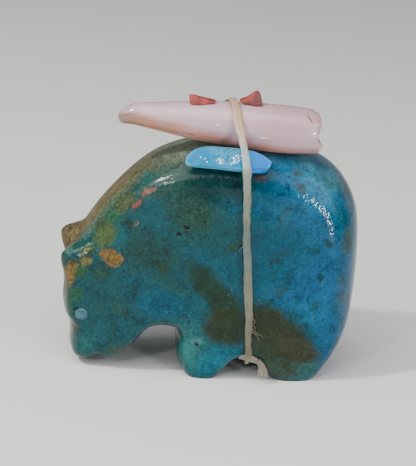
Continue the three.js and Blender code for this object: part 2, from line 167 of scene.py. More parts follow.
class Maker:
    # One material's nodes. add takes a node's type, its settings, and the values or links of its sockets
    def __init__(self, name):
        self.material = bpy.data.materials.new(name)
        self.material.use_nodes = True
        self.tree = self.material.node_tree
        self.shader = self.tree.nodes["Principled BSDF"]
        self.place = self.scaled(self.add("ShaderNodeTexCoord", output="Object"), 1 / mm)

    def add(self, kind, settings=None, sockets=None, output=0):
        node = self.tree.nodes.new(kind)
        for key, value in (settings or {}).items():
            if key == "stops":
                ramp = node.color_ramp
                while len(ramp.elements) < len(value):
                    ramp.elements.new(0.5)
                for element, (position, colour) in zip(ramp.elements, value):
                    element.position = position
                    element.color = colour
            elif key == "texture_mapping":
                for part, amount in value.items():
                    setattr(node.texture_mapping, part, amount)
            else:
                setattr(node, key, value)
        for key, value in (sockets or {}).items():
            self.put(node, key, value)
        return Wire(self, node.outputs[output])

    def put(self, node, key, value):
        if isinstance(value, Wire):
            self.tree.links.new(value.socket, node.inputs[key])
        else:
            node.inputs[key].default_value = value

    def scaled(self, vector, amount):
        # a colour or a place, all its parts times one amount
        return self.add("ShaderNodeVectorMath", {"operation": "SCALE"}, {0: vector, "Scale": amount})

    def combined(self, operation, first, second):
        return self.add("ShaderNodeVectorMath", {"operation": operation}, {0: first, 1: second})

    def noise(self, scale, detail=3, roughness=0.55, distortion=0.0, place=None, output=0):
        sockets = {"Vector": place or self.place, "Scale": scale, "Detail": detail,
                   "Roughness": roughness, "Distortion": distortion}
        return self.add("ShaderNodeTexNoise", None, sockets, output)

    def cells(self, scale, place=None, feature="F1"):
        sockets = {"Vector": place or self.place, "Scale": scale}
        return self.add("ShaderNodeTexVoronoi", {"feature": feature}, sockets, "Distance")

    def ease(self, value, low, high, top=1):
        # 0 at low, top at high, smooth between; low may be the larger
        sockets = {"Value": value, "From Min": low, "From Max": high, "To Max": top}
        return self.add("ShaderNodeMapRange", {"interpolation_type": "SMOOTHSTEP"}, sockets)

    def blend(self, first, second, factor):
        # each colour is a wire, or its linear red, green and blue
        first, second = (tint if isinstance(tint, Wire) else (*tint, 1) for tint in (first, second))
        return self.add("ShaderNodeMix", {"data_type": "RGBA"}, {0: factor, 6: first, 7: second}, 2)

    def stretch(self, scale):
        return self.combined("MULTIPLY", self.place, scale)

    def axes(self):
        parts = self.add("ShaderNodeSeparateXYZ", None, {0: self.place}).socket.node
        return [Wire(self, parts.outputs[axis]) for axis in range(3)]

    def attribute(self, name):
        return self.add("ShaderNodeAttribute", {"attribute_name": name}, None, "Fac")

    def patch(self, centre, radii, slope=0, soft=0.35, top=1, place=None):
        # top inside a turned ellipsoid round centre, 0 outside, soft at its border; a slope rises towards
        # the rump. A spherical gradient falls from 1 at the centre to 0 at 1 + soft times the radii
        mapping = {"vector_type": "TEXTURE", "translation": centre, "rotation": (0, math.radians(-slope), 0),
                   "scale": [radius * (1 + soft) for radius in radii]}
        settings = {"gradient_type": "SPHERICAL", "texture_mapping": mapping}
        fall = self.add("ShaderNodeTexGradient", settings, {"Vector": place or self.place}, "Fac")
        return self.ease(fall, 0, 2 * soft / (1 + soft), top)

    def patches(self, rows, total=0, **shape):
        # the sum of several patches and a first value
        for row in rows:
            total = total + self.patch(*row, **shape)
        return total

    def surface(self, colour, roughness, heights, bumpDistance=0.05, **fixed):
        # colour and roughness may be wires; heights is a wire, times bumpDistance in mm
        sockets = {"Height": heights, "Distance": bumpDistance * mm, "Strength": 1.0}
        bump = self.add("ShaderNodeBump", None, sockets)
        fixed = {"Base Color": colour, "Roughness": roughness, "Normal": bump, **fixed}
        for key, value in fixed.items():
            self.put(self.shader, key, value)
        return self.material


# Mesh writing

# A soft step: 0 below low, 1 above high, 3t^2 - 2t^3 between
def easeStep(low, high, value):
    share = np.clip((value - low) / (high - low), 0, 1)
    return share * share * (3 - 2 * share)


# A bell: 1 in the middle, falling as e to the minus square of distance over width
def bell(distance, width):
    return np.exp(-((distance / width) ** 2))


# Vectors shortened or lengthened to 1
def unit(vectors):
    return vectors / np.linalg.norm(vectors, axis=-1, keepdims=True)


# How far along a line each of its points lies
def travelAlong(line):
    return np.concatenate([[0], np.cumsum(np.linalg.norm(np.diff(line, axis=0), axis=1))])


# A line's points moved to equal steps along it, with or without its last point
def evenly(line, count, endpoint):
    travelled = travelAlong(line)
    steps = np.linspace(0, travelled[-1], count, endpoint=endpoint)
    return np.stack([np.interp(steps, travelled, line[:, axis]) for axis in range(line.shape[1])], 1)


# Evenly spaced points on a smooth closed line through a few points: a centripetal spline,
# whose speed at each point follows the roots of the distances to its neighbours
def closedLine(points, count, perSpan=60):
    here = np.asarray(points, float)
    before, after, further = (np.roll(here, shift, 0) for shift in (1, -1, -2))
    gaps = [np.linalg.norm(b - a, axis=1, keepdims=True) ** 0.5
            for a, b in ((before, here), (here, after), (after, further))]
    leaving = (here - before) / gaps[0] - (after - before) / (gaps[0] + gaps[1]) + (after - here) / gaps[1]
    arriving = (after - here) / gaps[1] - (further - here) / (gaps[1] + gaps[2]) + (further - after) / gaps[2]
    leaving, arriving = leaving * gaps[1], arriving * gaps[1]
    t = np.linspace(0, 1, perSpan, endpoint=False)[:, None, None]
    fine = (here * (2 * t**3 - 3 * t**2 + 1) + leaving * (t**3 - 2 * t**2 + t)
            + after * (3 * t**2 - 2 * t**3) + arriving * (t**3 - t**2))
    fine = fine.transpose(1, 0, 2).reshape(-1, here.shape[1])
    return evenly(np.vstack([fine, fine[:1]]), count, False)


# Evenly spaced points on a smooth open line through a few points: a spline whose direction at each
# point is that from the point before to the point after
def openLine(points, count, perSpan=40):
    here = np.asarray(points, float)
    ends = np.vstack([2 * here[0] - here[1], here, 2 * here[-1] - here[-2]])
    p0, p1, p2, p3 = ends[:-3], ends[1:-2], ends[2:-1], ends[3:]
    t = np.linspace(0, 1, perSpan, endpoint=False)[:, None, None]
    fine = 0.5 * (2 * p1 + (p2 - p0) * t + (2 * p0 - 5 * p1 + 4 * p2 - p3) * t**2
                  + (3 * p1 - p0 - 3 * p2 + p3) * t**3)
    fine = np.vstack([fine.transpose(1, 0, 2).reshape(-1, here.shape[1]), here[-1:]])
    return evenly(fine, count, True)


# Angles in equal steps round a circle
def roundAngles(count):
    return np.arange(count) / count * 2 * math.pi


# Several sines of an angle added up, from rows of count, height and phase
def wavesOf(rows, angle):
    return sum(rise * np.sin(count * angle + phase) for count, rise, phase in rows)


# Second column of a table at places of its first column, straight between its rows
def tableAt(table, places):
    columns = np.array(table, float).T
    return np.interp(places, *columns)


# Faces of a grid of rings: quads between neighbouring rings, and a fan to a pole at each end.
# The points are all rings in order, then the two poles. With joined, the last ring meets the first.
def ringFaces(rings, around, joined=False):
    ring = np.arange(rings if joined else rings - 1)[:, None] * around
    step = np.arange(around)[None, :]
    along = (step + 1) % around
    ahead = (ring + around) % (rings * around)
    quads = np.stack([ring + step, ring + along, ahead + along, ahead + step], -1).reshape(-1, 4)
    if joined:
        return quads.tolist()
    last = (rings - 1) * around
    start, end = rings * around, rings * around + 1
    fans = [np.stack([np.full(around, start), along[0], step[0]], -1),
            np.stack([last + step[0], last + along[0], np.full(around, end)], -1)]
    return quads.tolist() + np.vstack(fans).tolist()


# Puts points in mm and faces into a piece that rides on the figure's one body
def makePiece(name, points, faces, material, nodes=(), attributes=None):
    mesh = bpy.data.meshes.new(name)
    mesh.from_pydata((points * mm).tolist(), [], faces)
    mesh.polygons.foreach_set("use_smooth", np.ones(len(mesh.polygons), bool))
    for key, values in (attributes or {}).items():
        layer = mesh.attributes.new(key, "FLOAT", "POINT")
        layer.data.foreach_set("value", np.asarray(values, np.float32).ravel())
    mesh.update()
    mesh.materials.append(material)
    made = bpy.data.objects.new(name, mesh)
    bpy.context.scene.collection.objects.link(made)
    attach(made, "root")
    if nodes:
        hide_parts(*nodes)


# Corners of a CAD node's box in mm
def boxOf(node):
    low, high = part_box(node)
    return np.array(low) / mm, np.array(high) / mm


# Moves points so that the middle of their box is the middle of a node's box
def placeAt(points, node):
    low, high = boxOf(node)
    return points + (low + high) / 2 - (points.min(0) + points.max(0)) / 2


# The bear

bear = {
    "length": 42.0,
    "thickness": 18.0,
    "headShare": 0.57,
    "headRange": (-0.1, 0.5),  # ranges are shares of the length
    "rumpLoss": 0.2,
    "rumpRange": (0.65, 1.1),
    "footLoss": 0.15,
    "footRange": (0, 0.21),
    "backLoss": 0.1,
    "backRange": (0.52, 0.86),
    # mm from the outline to the full thickness, in front and below, then behind and above
    "edgeRounding": 1.8,
    "backRounding": 4.8,
    "roundingRanges": ((0.19, 0.57), (0.05, 0.33)),
    "edgePower": 2.4,
    "crowding": 1.8,  # how the rings gather at the outline
    "haunch": {"place": (91.7, 47.6), "radius": 4.2, "rise": 0.5},
    "around": 480,
    "rows": 98,
    # side outline in percent of the length: x from the forehead, z from the ground
    "outline": [
        (1.9, 38.6), (1.4, 29), (2.5, 17.8), (4, 15.1), (4.5, 6), (6.3, 2.1), (12.8, 1.7), (14.8, 3.5),
        (16.2, 2.1), (19.8, 2.5), (27.4, 9.4), (30.2, 13.5), (33.3, 16), (40.4, 15.4), (40.2, 11.6),
        (41.4, 2.7), (44.4, -1.7), (48.1, -3), (53, -3), (56.9, 0.6), (62.6, 6.3), (71.2, 0.7),
        (76.4, -3), (83.1, -3.3), (88, -1.2), (91.7, 3.3), (98.7, 18.9), (99.6, 52.7), (97.3, 62.3),
        (91.9, 70), (83.7, 75.1), (72.6, 77.9), (47.6, 78.2), (37.1, 75.4), (28.1, 70.4), (15, 57.3),
        (6.2, 45),
    ],
    "heart": (48, 45),
    # ear ridge in percent, its rise in mm, and the line under it in mm
    "ear": {"place": (4.6, 40.4), "slope": 38, "length": 6.5, "width": 2.9, "rise": 0.7,
            "lineLength": 5.2, "lineBelow": 1.75, "lineWidth": 0.4, "lineDepth": 0.3},
    # hollow of the crown and the two ear tips, near tip first; spans and reaches are shares of the whole
    "crown": {"place": (1.6, 39), "inward": (0.86, -0.51), "depth": 1.5, "span": 0.14, "reach": 0.17,
              "tipRise": (1.2, 2.0), "tipPlace": 0.31, "tipSpan": 0.12, "tipReach": 0.1},
    "feet": {"groove": 2.2, "span": 0.095, "reach": 0.155, "from": 0.31},
    "grinding": 0.07,  # mm
    "browLine": {"start": (2.6, 18.6), "end": (6.6, 14.8), "depth": 0.22, "width": 0.3},
}
percent = bear["length"] / 100
rim = closedLine(np.array(bear["outline"]) * percent, bear["around"])


# A soft distance from the outline: half the integral of 1/r^3 along it, to the power -1/2.
# Beside a straight edge it is the plain distance, and it has no crease in the middle.
def rimDistance(x, z, least=1e-4):
    start, end = rim, np.roll(rim, -1, 0)
    length = np.linalg.norm(end - start, axis=1)
    run = (end - start) / length[:, None]
    total = np.zeros(x.shape)
    for row in range(len(x)):
        dx, dz = x[row][:, None] - start[:, 0], z[row][:, None] - start[:, 1]
        along = dx * run[:, 0] + dz * run[:, 1]
        aside = (dx * run[:, 1] - dz * run[:, 0]) ** 2 + least
        near = -along / np.sqrt(aside + along**2)
        far = (length - along) / np.sqrt(aside + (length - along) ** 2)
        total[row] = ((far - near) / aside).sum(1)
    return (total / 2) ** -0.5


# Depth of a carved line from one place of the side view to another: a bell across the line
def carvedLine(x, z, start, end, width):
    start, end = np.array(start) * percent, np.array(end) * percent
    run = end - start
    share = np.clip(((x - start[0]) * run[0] + (z - start[1]) * run[1]) / (run @ run), 0, 1)
    return bell(np.hypot(x - start[0] - share * run[0], z - start[1] - share * run[1]), width)


# The bear's surface, a function of the place on the outline and of the share of the way to the heart.
# Half thickness = ribs x head-to-rump factor x feet-to-back factor x superellipse of the rim distance,
# and haunches, ears, crown hollow, brow lines and the hollow between the feet are added to it.
def bearSurface():
    size, half = bear["length"], bear["thickness"] / 2
    step = np.arange(-bear["rows"] + 1, bear["rows"]) / bear["rows"]
    share = np.abs(step)[:, None] ** bear["crowding"]
    side = np.vstack([np.sign(step)[:, None], [[-1], [1]]])
    heart = np.array(bear["heart"]) * percent
    x, z = (np.vstack([rim[None, :, axis] * (1 - share) + heart[axis] * share,
                       np.full((2, bear["around"]), heart[axis])]) for axis in (0, 1))
    near = rimDistance(x, z)
    near[bear["rows"] - 1] = 0
    u, v = x / size, z / size
    lengthwise = (bear["headShare"] + (1 - bear["headShare"]) * easeStep(*bear["headRange"], u)
                  - bear["rumpLoss"] * easeStep(*bear["rumpRange"], u))
    upwards = (1 - bear["footLoss"] * (1 - easeStep(*bear["footRange"], v))
               - bear["backLoss"] * easeStep(*bear["backRange"], v))
    backward, upward = bear["roundingRanges"]
    soft = easeStep(*backward, u) * easeStep(*upward, v)
    rounding = bear["edgeRounding"] * (1 - soft) + bear["backRounding"] * soft
    inward = np.minimum(near / rounding, 1)
    full = half * lengthwise * upwards
    thick = full * (1 - (1 - inward) ** bear["edgePower"]) ** (1 / bear["edgePower"])
    # ear ridge on the cheek, with a line under it
    ear = bear["ear"]
    turn = math.radians(ear["slope"])
    ex, ez = x - ear["place"][0] * percent, z - ear["place"][1] * percent
    along = ex * math.cos(turn) + ez * math.sin(turn)
    across = -ex * math.sin(turn) + ez * math.cos(turn)
    ridge = bell(along, ear["length"] * percent) * bell(across, ear["width"] * percent)
    under = bell(along, ear["lineLength"] * percent) * bell(across + ear["lineBelow"], ear["lineWidth"])
    swelling = ear["rise"] * ridge - ear["lineDepth"] * under
    y = side * (thick + swelling * easeStep(0.2, 0.5, thick / half))
    brow = bear["browLine"]
    cut = brow["depth"] * carvedLine(x, z, brow["start"], brow["end"], brow["width"])
    y = y - side * cut * easeStep(0.1, 0.3, thick / half)
    haunch = bear["haunch"]
    away = np.hypot(x - haunch["place"][0] * percent, z - haunch["place"][1] * percent)
    y = y + side * haunch["rise"] * bell(away, haunch["radius"]) * easeStep(0, 0.4, thick / half)
    # crown hollow with the two ear tips, and the hollow between the feet
    crown, feet, whole = bear["crown"], bear["feet"], bear["thickness"]
    away = np.hypot(x - crown["place"][0] * percent, z - crown["place"][1] * percent)
    hollow = bell(y, crown["span"] * whole) * (1 - easeStep(0, crown["reach"] * size, away))
    tip = bell(np.abs(y) - crown["tipPlace"] * whole, crown["tipSpan"] * whole)
    tip = tip * (1 - easeStep(0, crown["tipReach"] * size, away))
    dent = crown["depth"] * hollow - np.where(y < 0, *crown["tipRise"]) * tip
    between = (1 - easeStep(0, feet["reach"] * size, z)) * easeStep(-0.05, 0.05, u - feet["from"])
    lift = feet["groove"] * bell(y, feet["span"] * whole) * between
    # slow unevenness of hand grinding
    wave = np.sin(0.71 * x + 0.53 * z) + np.sin(0.47 * z - 0.83 * x + 1.7) + np.sin(1.3 * z + 0.4 * x + 4.1)
    y = y + side * bear["grinding"] * wave / 3 * easeStep(0.3, 1, thick / half)
    low = np.maximum(z + crown["inward"][1] * dent + lift, 0)
    points = np.stack([x + crown["inward"][0] * dent, y, low], -1)
    # where the back's worn skin lies: 1 on the middle of the back, 0 on the flanks and below
    turned = 1 - easeStep(0.55, 0.95, np.abs(y) / np.maximum(full, 1))
    back = turned * easeStep(0.3, 0.55, v + 0.25 * easeStep(0.2, 0, u))
    return np.vstack([points[:-2].reshape(-1, 3), points[-2:, 0]]), np.append(back[:-2].ravel(), [0, 0])


bearPoints, bearBack = bearSurface()
cadLow, cadHigh = boxOf("bear_body")
# from the outline's own frame to the figure's
toFigure = (cadLow + cadHigh) / 2 - (bearPoints.min(0) + bearPoints.max(0)) / 2
toFigure[2] = 0
bearPoints = bearPoints + toFigure
bearFaces = ringFaces(2 * bear["rows"] - 1, bear["around"])
print("bear surface", bearPoints.min(0).round(2), bearPoints.max(0).round(2))
print("its CAD box", cadLow.round(2), cadHigh.round(2))

# the stone's colours are its own, linear; a patch has a place and radii in the figure's frame in mm,
# a slope in degrees, softness, strength and colour
stone = {
    "teal": (0.002, 0.04, 0.046),
    "middle": (0.0, 0.046, 0.061),
    "blue": (0.0, 0.058, 0.12),
    "moss": (0.005, 0.029, 0.017),
    "ink": (0.0, 0.02, 0.024),
    "tan": (0.1, 0.08, 0.029),
    "backGreen": (0.085, 0.096, 0.052),
    "speck": (0.05, 0.14, 0.16),
    "fleck": (0.2, 0.32, 0.33),
    "pit": (0.035, 0.028, 0.016),
    "pitDeep": (0.001, 0.014, 0.013),
    "darkSpeck": (0.001, 0.008, 0.009),
    "hole": (0.0, 0.004, 0.004),
    "shove": 3.4,  # mm, how far noise pushes the borders of the patches
    "crazed": ((14.6, -7.5, 25.6), (4, 3, 1.6), -56, 0.4),
    "holes": [
        ((-3.4, -8.3, 22.65), (0.42, 1.2, 0.22), -25),
        ((-4.4, -8.2, 21.6), (0.34, 1.2, 0.26), 20),
        ((-18.15, -5.2, 9.05), (0.4, 1.2, 0.12), 30),
        ((-1.1, -8.1, 5.6), (0.3, 1, 0.16), -40),
    ],
    "fleckZones": [
        ((-2.6, -8, 6), (1.8, 3, 2.8), 0),
        ((-4.4, -8.2, 10.4), (1.8, 3, 0.9), 0),
        ((-16.8, -5.9, 17.8), (2, 3, 1.2), 25),
        ((3.6, -8.5, 13.4), (1, 3, 2.2), -40),
        ((8, -8.4, 12.5), (3, 3, 0.5), -6),
        ((-15, -5, 22), (5, 3, 1.2), 50),
    ],
    # coarse, pitted stone
    "roughZones": [
        ((-20, 3.4, 17), (2.8, 4, 3.4), 0),
        ((-13.4, -6.4, 17.3), (2, 3, 1.8), 0),
        ((-16.9, -5.9, 17.2), (2, 3, 1.5), 20),
        ((-19.2, -4.6, 14), (1.4, 3, 3), 0),
        ((-13.2, -4.4, 24.6), (6, 3, 1.6), 50),
        ((-11, -6.8, 22.4), (1.6, 3, 1), 0),
        ((-3, -8, 24.5), (2.5, 3, 3.5), 10),
    ],
    "patches": [
        ("rumpPale", (13.6, -6.8, 28.8), (5.2, 4.5, 2.2), -34, 0.7, 0.8, (0.004, 0.105, 0.2)),
        # painted shadow: a dark navy band where the shell shades the loin
        ("loinDark", (11.8, -4.6, 31.4), (3, 2, 0.8), -8, 0.7, 0.65, (0.0, 0.04, 0.07)),
        ("rumpRim", (14.6, -3.4, 30.2), (3.6, 4.5, 1.9), -36, 0.7, 0.75, (0.036, 0.16, 0.21)),
        ("rumpBlue", (15.4, -7, 14.2), (3, 5, 4.6), 0, 0.8, 0.6, (0.0, 0.062, 0.15)),
        ("rumpLow", (13.6, -7, 10.4), (3.6, 5, 2), 30, 0.7, 0.5, (0.0, 0.082, 0.13)),
        ("haunch", (9.4, -8, 20), (4.4, 5, 4.4), 0, 0.8, 0.7, (0.0, 0.041, 0.06)),
        ("foreLeg", (-2.4, -7.5, 4.8), (2.4, 5, 3.4), 0, 0.7, 0.85, (0.012, 0.11, 0.105)),
        ("foreLegBlue", (1.9, -7.5, 3), (3, 5, 2), 20, 0.6, 0.8, (0.0, 0.092, 0.13)),
        ("foreLegPale", (-1.2, -8.1, 6), (0.8, 3, 0.7), 0, 0.6, 0.7, (0.035, 0.13, 0.12)),
        ("throatBlue", (-6.6, -7.8, 11.2), (3.6, 4, 1.5), 0, 0.7, 0.7, (0.001, 0.043, 0.082)),
        ("muzzleTeal", (-17.2, -5, 3.6), (1.9, 4, 1.6), 0, 0.6, 0.7, (0.006, 0.074, 0.069)),
        ("headLow", (-15.2, -5.6, 5.8), (2, 4, 1.6), 0, 0.7, 0.6, (0.003, 0.056, 0.064)),
        ("jawBrown", (-12.1, -6, 3.4), (1.7, 4, 0.9), 30, 0.6, 0.75, (0.02, 0.048, 0.026)),
        ("browBrown", (-18.2, -5.1, 6.6), (0.9, 3, 0.45), -35, 0.5, 0.7, (0.05, 0.05, 0.024)),
        ("faceEdge", (-19.2, -4, 9.8), (0.6, 3, 2.6), 0, 0.6, 0.6, (0.02, 0.06, 0.03)),
        ("middleBlue", (1.2, -8, 17.4), (3, 4, 3), 0, 0.8, 0.6, (0.0, 0.05, 0.072)),
        ("greenGrey", (-2.8, -8, 25.8), (3.2, 8, 4.8), 14, 0.6, 0.85, (0.007, 0.033, 0.018)),
        ("greenGreyTop", (0.6, -7, 28.8), (5.5, 6, 2.2), 6, 0.6, 0.8, (0.002, 0.022, 0.022)),
        ("neckMoss", (-9.4, -7, 18.6), (2.8, 4, 3), 0, 0.8, 0.4, (0.008, 0.03, 0.012)),
        ("mottleMiddle", (-7, -8, 18.2), (3.4, 6, 2.6), -30, 0.7, 0.7, (0.003, 0.028, 0.021)),
        ("mottleSpot", (-6.2, -7.9, 16.4), (1, 3, 0.7), 0, 0.5, 0.7, (0.008, 0.03, 0.012)),
        ("mottleJaw", (-11.7, -6.8, 9.7), (1.6, 3, 1.3), 0, 0.8, 0.45, (0.006, 0.036, 0.026)),
        ("mottleLow", (-4.6, -8, 14.4), (2.6, 6, 1.1), -14, 0.7, 0.5, (0.004, 0.03, 0.022)),
        ("mottleRibs", (2.2, -8.4, 21.6), (2.4, 6, 2.6), 0, 0.8, 0.5, (0.001, 0.031, 0.027)),
        ("greenBand", (0.2, -8.5, 14.4), (4.4, 6, 1.7), -47, 0.4, 0.92, (0.003, 0.018, 0.008)),
        ("greenNeck", (2.7, -8.5, 11.4), (2.6, 6, 2), -40, 0.4, 0.9, (0.004, 0.02, 0.009)),
        ("brownLeft", (3, -8.5, 8.4), (3.4, 6, 2.8), -20, 0.3, 0.92, (0.011, 0.018, 0.004)),
        ("greenEdge", (10.6, -8.2, 7.2), (6.4, 5, 3.8), -42, 0.35, 0.8, (0.002, 0.028, 0.019)),
        ("darkEdge", (7.6, -8.5, 10.8), (2.2, 5, 1.1), -10, 0.4, 0.85, (0.004, 0.018, 0.012)),
        ("brownMain", (9.9, -8.4, 7.3), (5.4, 5, 3.1), -42, 0.28, 0.95, (0.012, 0.017, 0.005)),
        ("brownRight", (12.8, -8, 5.2), (4.2, 6, 1.9), -28, 0.3, 0.92, (0.022, 0.025, 0.011)),
        ("brownInner", (8, -7.6, 4.8), (2.2, 6, 3), -20, 0.4, 0.9, (0.012, 0.026, 0.009)),
        ("greenBottom", (10.8, -6.8, 1.8), (3.6, 6, 1.7), -6, 0.5, 0.9, (0.022, 0.038, 0.016)),
        ("heel", (15, -6.4, 1.8), (1.9, 6, 1.3), 30, 0.5, 0.8, (0.013, 0.058, 0.05)),
        ("shoulderSkin", (-6.6, -6.4, 29.6), (5.2, 3, 1.6), 38, 0.9, 0.7, (0.034, 0.068, 0.043)),
        ("shoulderTeal", (-9.3, -5, 28.6), (0.9, 2, 0.7), 0, 0.6, 0.7, (0.01, 0.08, 0.075)),
        # painted light: paler on the shoulder under the shell, to offset the shell's shadow
        ("underShell", (-4.4, -1, 31.8), (3.2, 4.5, 1.4), 16, 0.7, 0.8, (0.12, 0.155, 0.11)),
        ("farEar", (-20, 3.4, 17), (2.4, 3.6, 3), 0, 0.4, 0.95, (0.092, 0.068, 0.027)),
        ("underEar", (-17.8, -5.5, 14.8), (1, 2.5, 0.9), 0, 0.5, 0.85, (0.01, 0.05, 0.012)),
        ("earCluster", (-17, -5.9, 17.7), (1.2, 2, 0.7), 30, 0.4, 0.75, (0.03, 0.06, 0.02)),
        ("earCrest", (-18.2, -4.6, 18.6), (3.4, 1.7, 0.75), 52, 0.6, 0.85, (0.008, 0.058, 0.048)),
        # the next three patches are a painted highlight: paler teal along the ear and neck crest
        ("crestHigh", (-17, -4.7, 20.3), (1.5, 1.5, 0.6), 50, 0.6, 0.7, (0.05, 0.12, 0.085)),
        ("crestLow", (-19.3, -4.2, 17.6), (1, 1.5, 0.6), 60, 0.6, 0.7, (0.06, 0.13, 0.09)),
        ("neckCrest", (-14, -4.3, 24.3), (4.6, 1.5, 0.7), 51, 0.5, 0.8, (0.05, 0.1, 0.055)),
        ("neckBlue", (-12.4, -6.6, 20.4), (1.1, 2.5, 1.7), 0, 0.6, 0.7, (0.0, 0.055, 0.062)),
        ("belowOchre", (-14.6, -6.1, 14.9), (1.2, 2.5, 0.9), 0, 0.6, 0.7, (0.006, 0.036, 0.016)),
        ("ochreBig", (-13.6, -6.4, 17.3), (1.6, 2.5, 1.25), 0, 0.2, 0.92, (0.12, 0.07, 0.014)),
        ("ochreEar", (-17.2, -5.7, 16.3), (0.95, 2, 0.6), 15, 0.25, 0.85, (0.12, 0.1, 0.03)),
        ("ochreCheek", (-19.1, -4.6, 14.1), (0.8, 2.6, 1.9), -12, 0.4, 0.9, (0.115, 0.07, 0.014)),
        ("greenCheek", (-18.4, -5, 11.3), (1, 2.6, 1.2), 0, 0.5, 0.8, (0.006, 0.056, 0.022)),
        ("olive", (-14.6, -6, 20.6), (1.5, 3, 2), -6, 0.5, 0.85, (0.045, 0.07, 0.016)),
        ("bright", (-13.2, -5.8, 23.2), (1.1, 2.6, 1), 0, 0.5, 0.85, (0.006, 0.068, 0.027)),
        ("yellowOlive", (-12.1, -6, 25), (1.9, 2.6, 1.1), 45, 0.4, 0.8, (0.05, 0.062, 0.018)),
        ("veinLow", (-10.1, -7, 25.5), (0.8, 2, 0.36), 52, 0.35, 0.9, (0.17, 0.05, 0.035)),
        ("veinHigh", (-8.8, -7.1, 27.1), (1.1, 2, 0.42), 28, 0.35, 0.85, (0.2, 0.075, 0.055)),
        # painted shade on the front leg's wall in the arch
        ("legSpot", (-4.2, -4, 5.6), (0.7, 3.5, 0.9), 0, 0.4, 0.8, (0.05, 0.052, 0.036)),
        ("spotHaunch", (16.1, -7.5, 21.2), (0.8, 2, 0.55), -15, 0.5, 0.8, (0.001, 0.018, 0.018)),
        ("spotLoin", (14.2, -7.8, 20), (0.7, 2, 0.5), 0, 0.6, 0.5, (0.001, 0.024, 0.03)),
        ("spotRib", (10.1, -8.3, 19.5), (0.9, 2, 0.9), 0, 0.6, 0.5, (0.001, 0.026, 0.032)),
        ("spotThigh", (15.7, -7.6, 16), (0.7, 2, 0.45), 70, 0.45, 0.85, (0.0, 0.016, 0.012)),
        ("spotFlank", (10.1, -8.3, 14.2), (1.1, 2, 0.6), 30, 0.6, 0.6, (0.006, 0.035, 0.035)),
        ("spotKnee", (15.1, -7.7, 11.9), (0.55, 2, 0.55), 0, 0.6, 0.7, (0.002, 0.042, 0.038)),
        ("spotRibLeft", (3.3, -8.5, 20.3), (0.7, 2, 0.9), -30, 0.5, 0.75, (0.006, 0.03, 0.014)),
        ("edgeBrown", (18.8, -5.6, 21.4), (0.9, 3, 2), 0, 0.5, 0.8, (0.02, 0.04, 0.03)),
        ("violet", (18.6, -6, 13), (0.9, 3, 3.4), 8, 0.7, 0.5, (0.02, 0.07, 0.105)),
        ("rumpDeep", (14.5, -2.2, 31), (1.5, 2.5, 0.6), -30, 0.6, 0.7, (0.0, 0.04, 0.1)),
        ("rumpOlive", (15.7, -5.2, 29.2), (1.7, 2.4, 0.7), -35, 0.6, 0.65, (0.022, 0.058, 0.05)),
        ("rumpTeal", (17.6, -6, 24.8), (2, 3, 1.2), -70, 0.7, 0.6, (0.008, 0.052, 0.06)),
        ("rumpRimBrown", (18.5, -3.6, 27), (3.4, 3, 0.6), -69, 0.6, 0.6, (0.06, 0.08, 0.09)),
        ("muzzleGrey", (-18.4, -4, 5), (1.1, 3, 1.9), 0, 0.6, 0.55, (0.028, 0.058, 0.04)),
        ("faceRim", (-20.2, -3, 12), (0.8, 3, 5), 0, 0.5, 0.6, (0.06, 0.05, 0.022)),
        ("earYellow", (-17, -5.9, 17.6), (0.6, 1.5, 0.26), 35, 0.4, 0.8, (0.2, 0.2, 0.07)),
        # the next two patches are painted glints: pale specks on the ear
        ("earPale", (-17.8, -5.7, 17.3), (0.7, 1.5, 0.2), 32, 0.4, 0.45, (0.22, 0.34, 0.28)),
        ("earPaleHigh", (-16.4, -5.7, 18.7), (0.5, 1.5, 0.2), 42, 0.4, 0.45, (0.16, 0.26, 0.18)),
        ("greyFirst", (11.1, -6.3, 30.6), (0.8, 2, 0.5), 0, 0.5, 0.75, (0.04, 0.06, 0.065)),
        ("greySecond", (11.8, -7.4, 28.8), (0.9, 2, 0.55), -30, 0.5, 0.8, (0.024, 0.04, 0.042)),
        ("redUnderBead", (6.2, -7.6, 29.9), (0.9, 2, 0.6), 0, 0.5, 0.8, (0.04, 0.02, 0.024)),
        ("swirl", (9.8, -8.2, 25.1), (0.9, 2, 1.1), 0, 0.7, 0.4, (0.014, 0.078, 0.105)),
        ("darkByVein", (-11.2, -6.9, 22.3), (0.7, 2, 0.5), -20, 0.5, 0.85, (0.004, 0.02, 0.01)),
        # painted shade on the front leg's wall in the arch
        ("legBrown", (-4, -5, 5.8), (0.6, 3.5, 0.9), 0, 0.4, 0.8, (0.05, 0.046, 0.03)),
        ("rumpGrey", (18.5, -6.4, 15.6), (0.7, 2, 0.9), 0, 0.6, 0.6, (0.012, 0.05, 0.045)),
        ("rumpBrown", (18.9, -6.2, 12.8), (0.6, 2, 1), 10, 0.6, 0.6, (0.03, 0.06, 0.06)),
        ("dotFlank", (8.3, -8.4, 17.9), (0.2, 1, 0.35), 0, 0.5, 0.8, (0.0, 0.018, 0.028)),
        ("dotSinew", (6, -8.5, 15.3), (0.25, 1, 0.3), 0, 0.5, 0.8, (0.0, 0.012, 0.016)),
        ("dotKnee", (14.1, -7.8, 13.3), (0.25, 1, 0.3), 0, 0.5, 0.8, (0.0, 0.018, 0.028)),
        ("lineThigh", (15.9, -7.6, 15.2), (0.55, 1.5, 0.12), 68, 0.5, 0.7, (0.02, 0.11, 0.15)),
        ("redSpeck", (-10.2, -7.1, 22.6), (0.3, 1.5, 0.32), 0, 0.4, 0.8, (0.12, 0.06, 0.045)),
        # the far flank, in keeping
        ("farBrown", (6, 9, 12), (7, 5, 4), 35, 0.35, 0.9, (0.013, 0.02, 0.008)),
        ("farOlive", (-12, 7.5, 21), (2.6, 2.6, 3.2), 0, 0.5, 0.7, (0.04, 0.065, 0.018)),
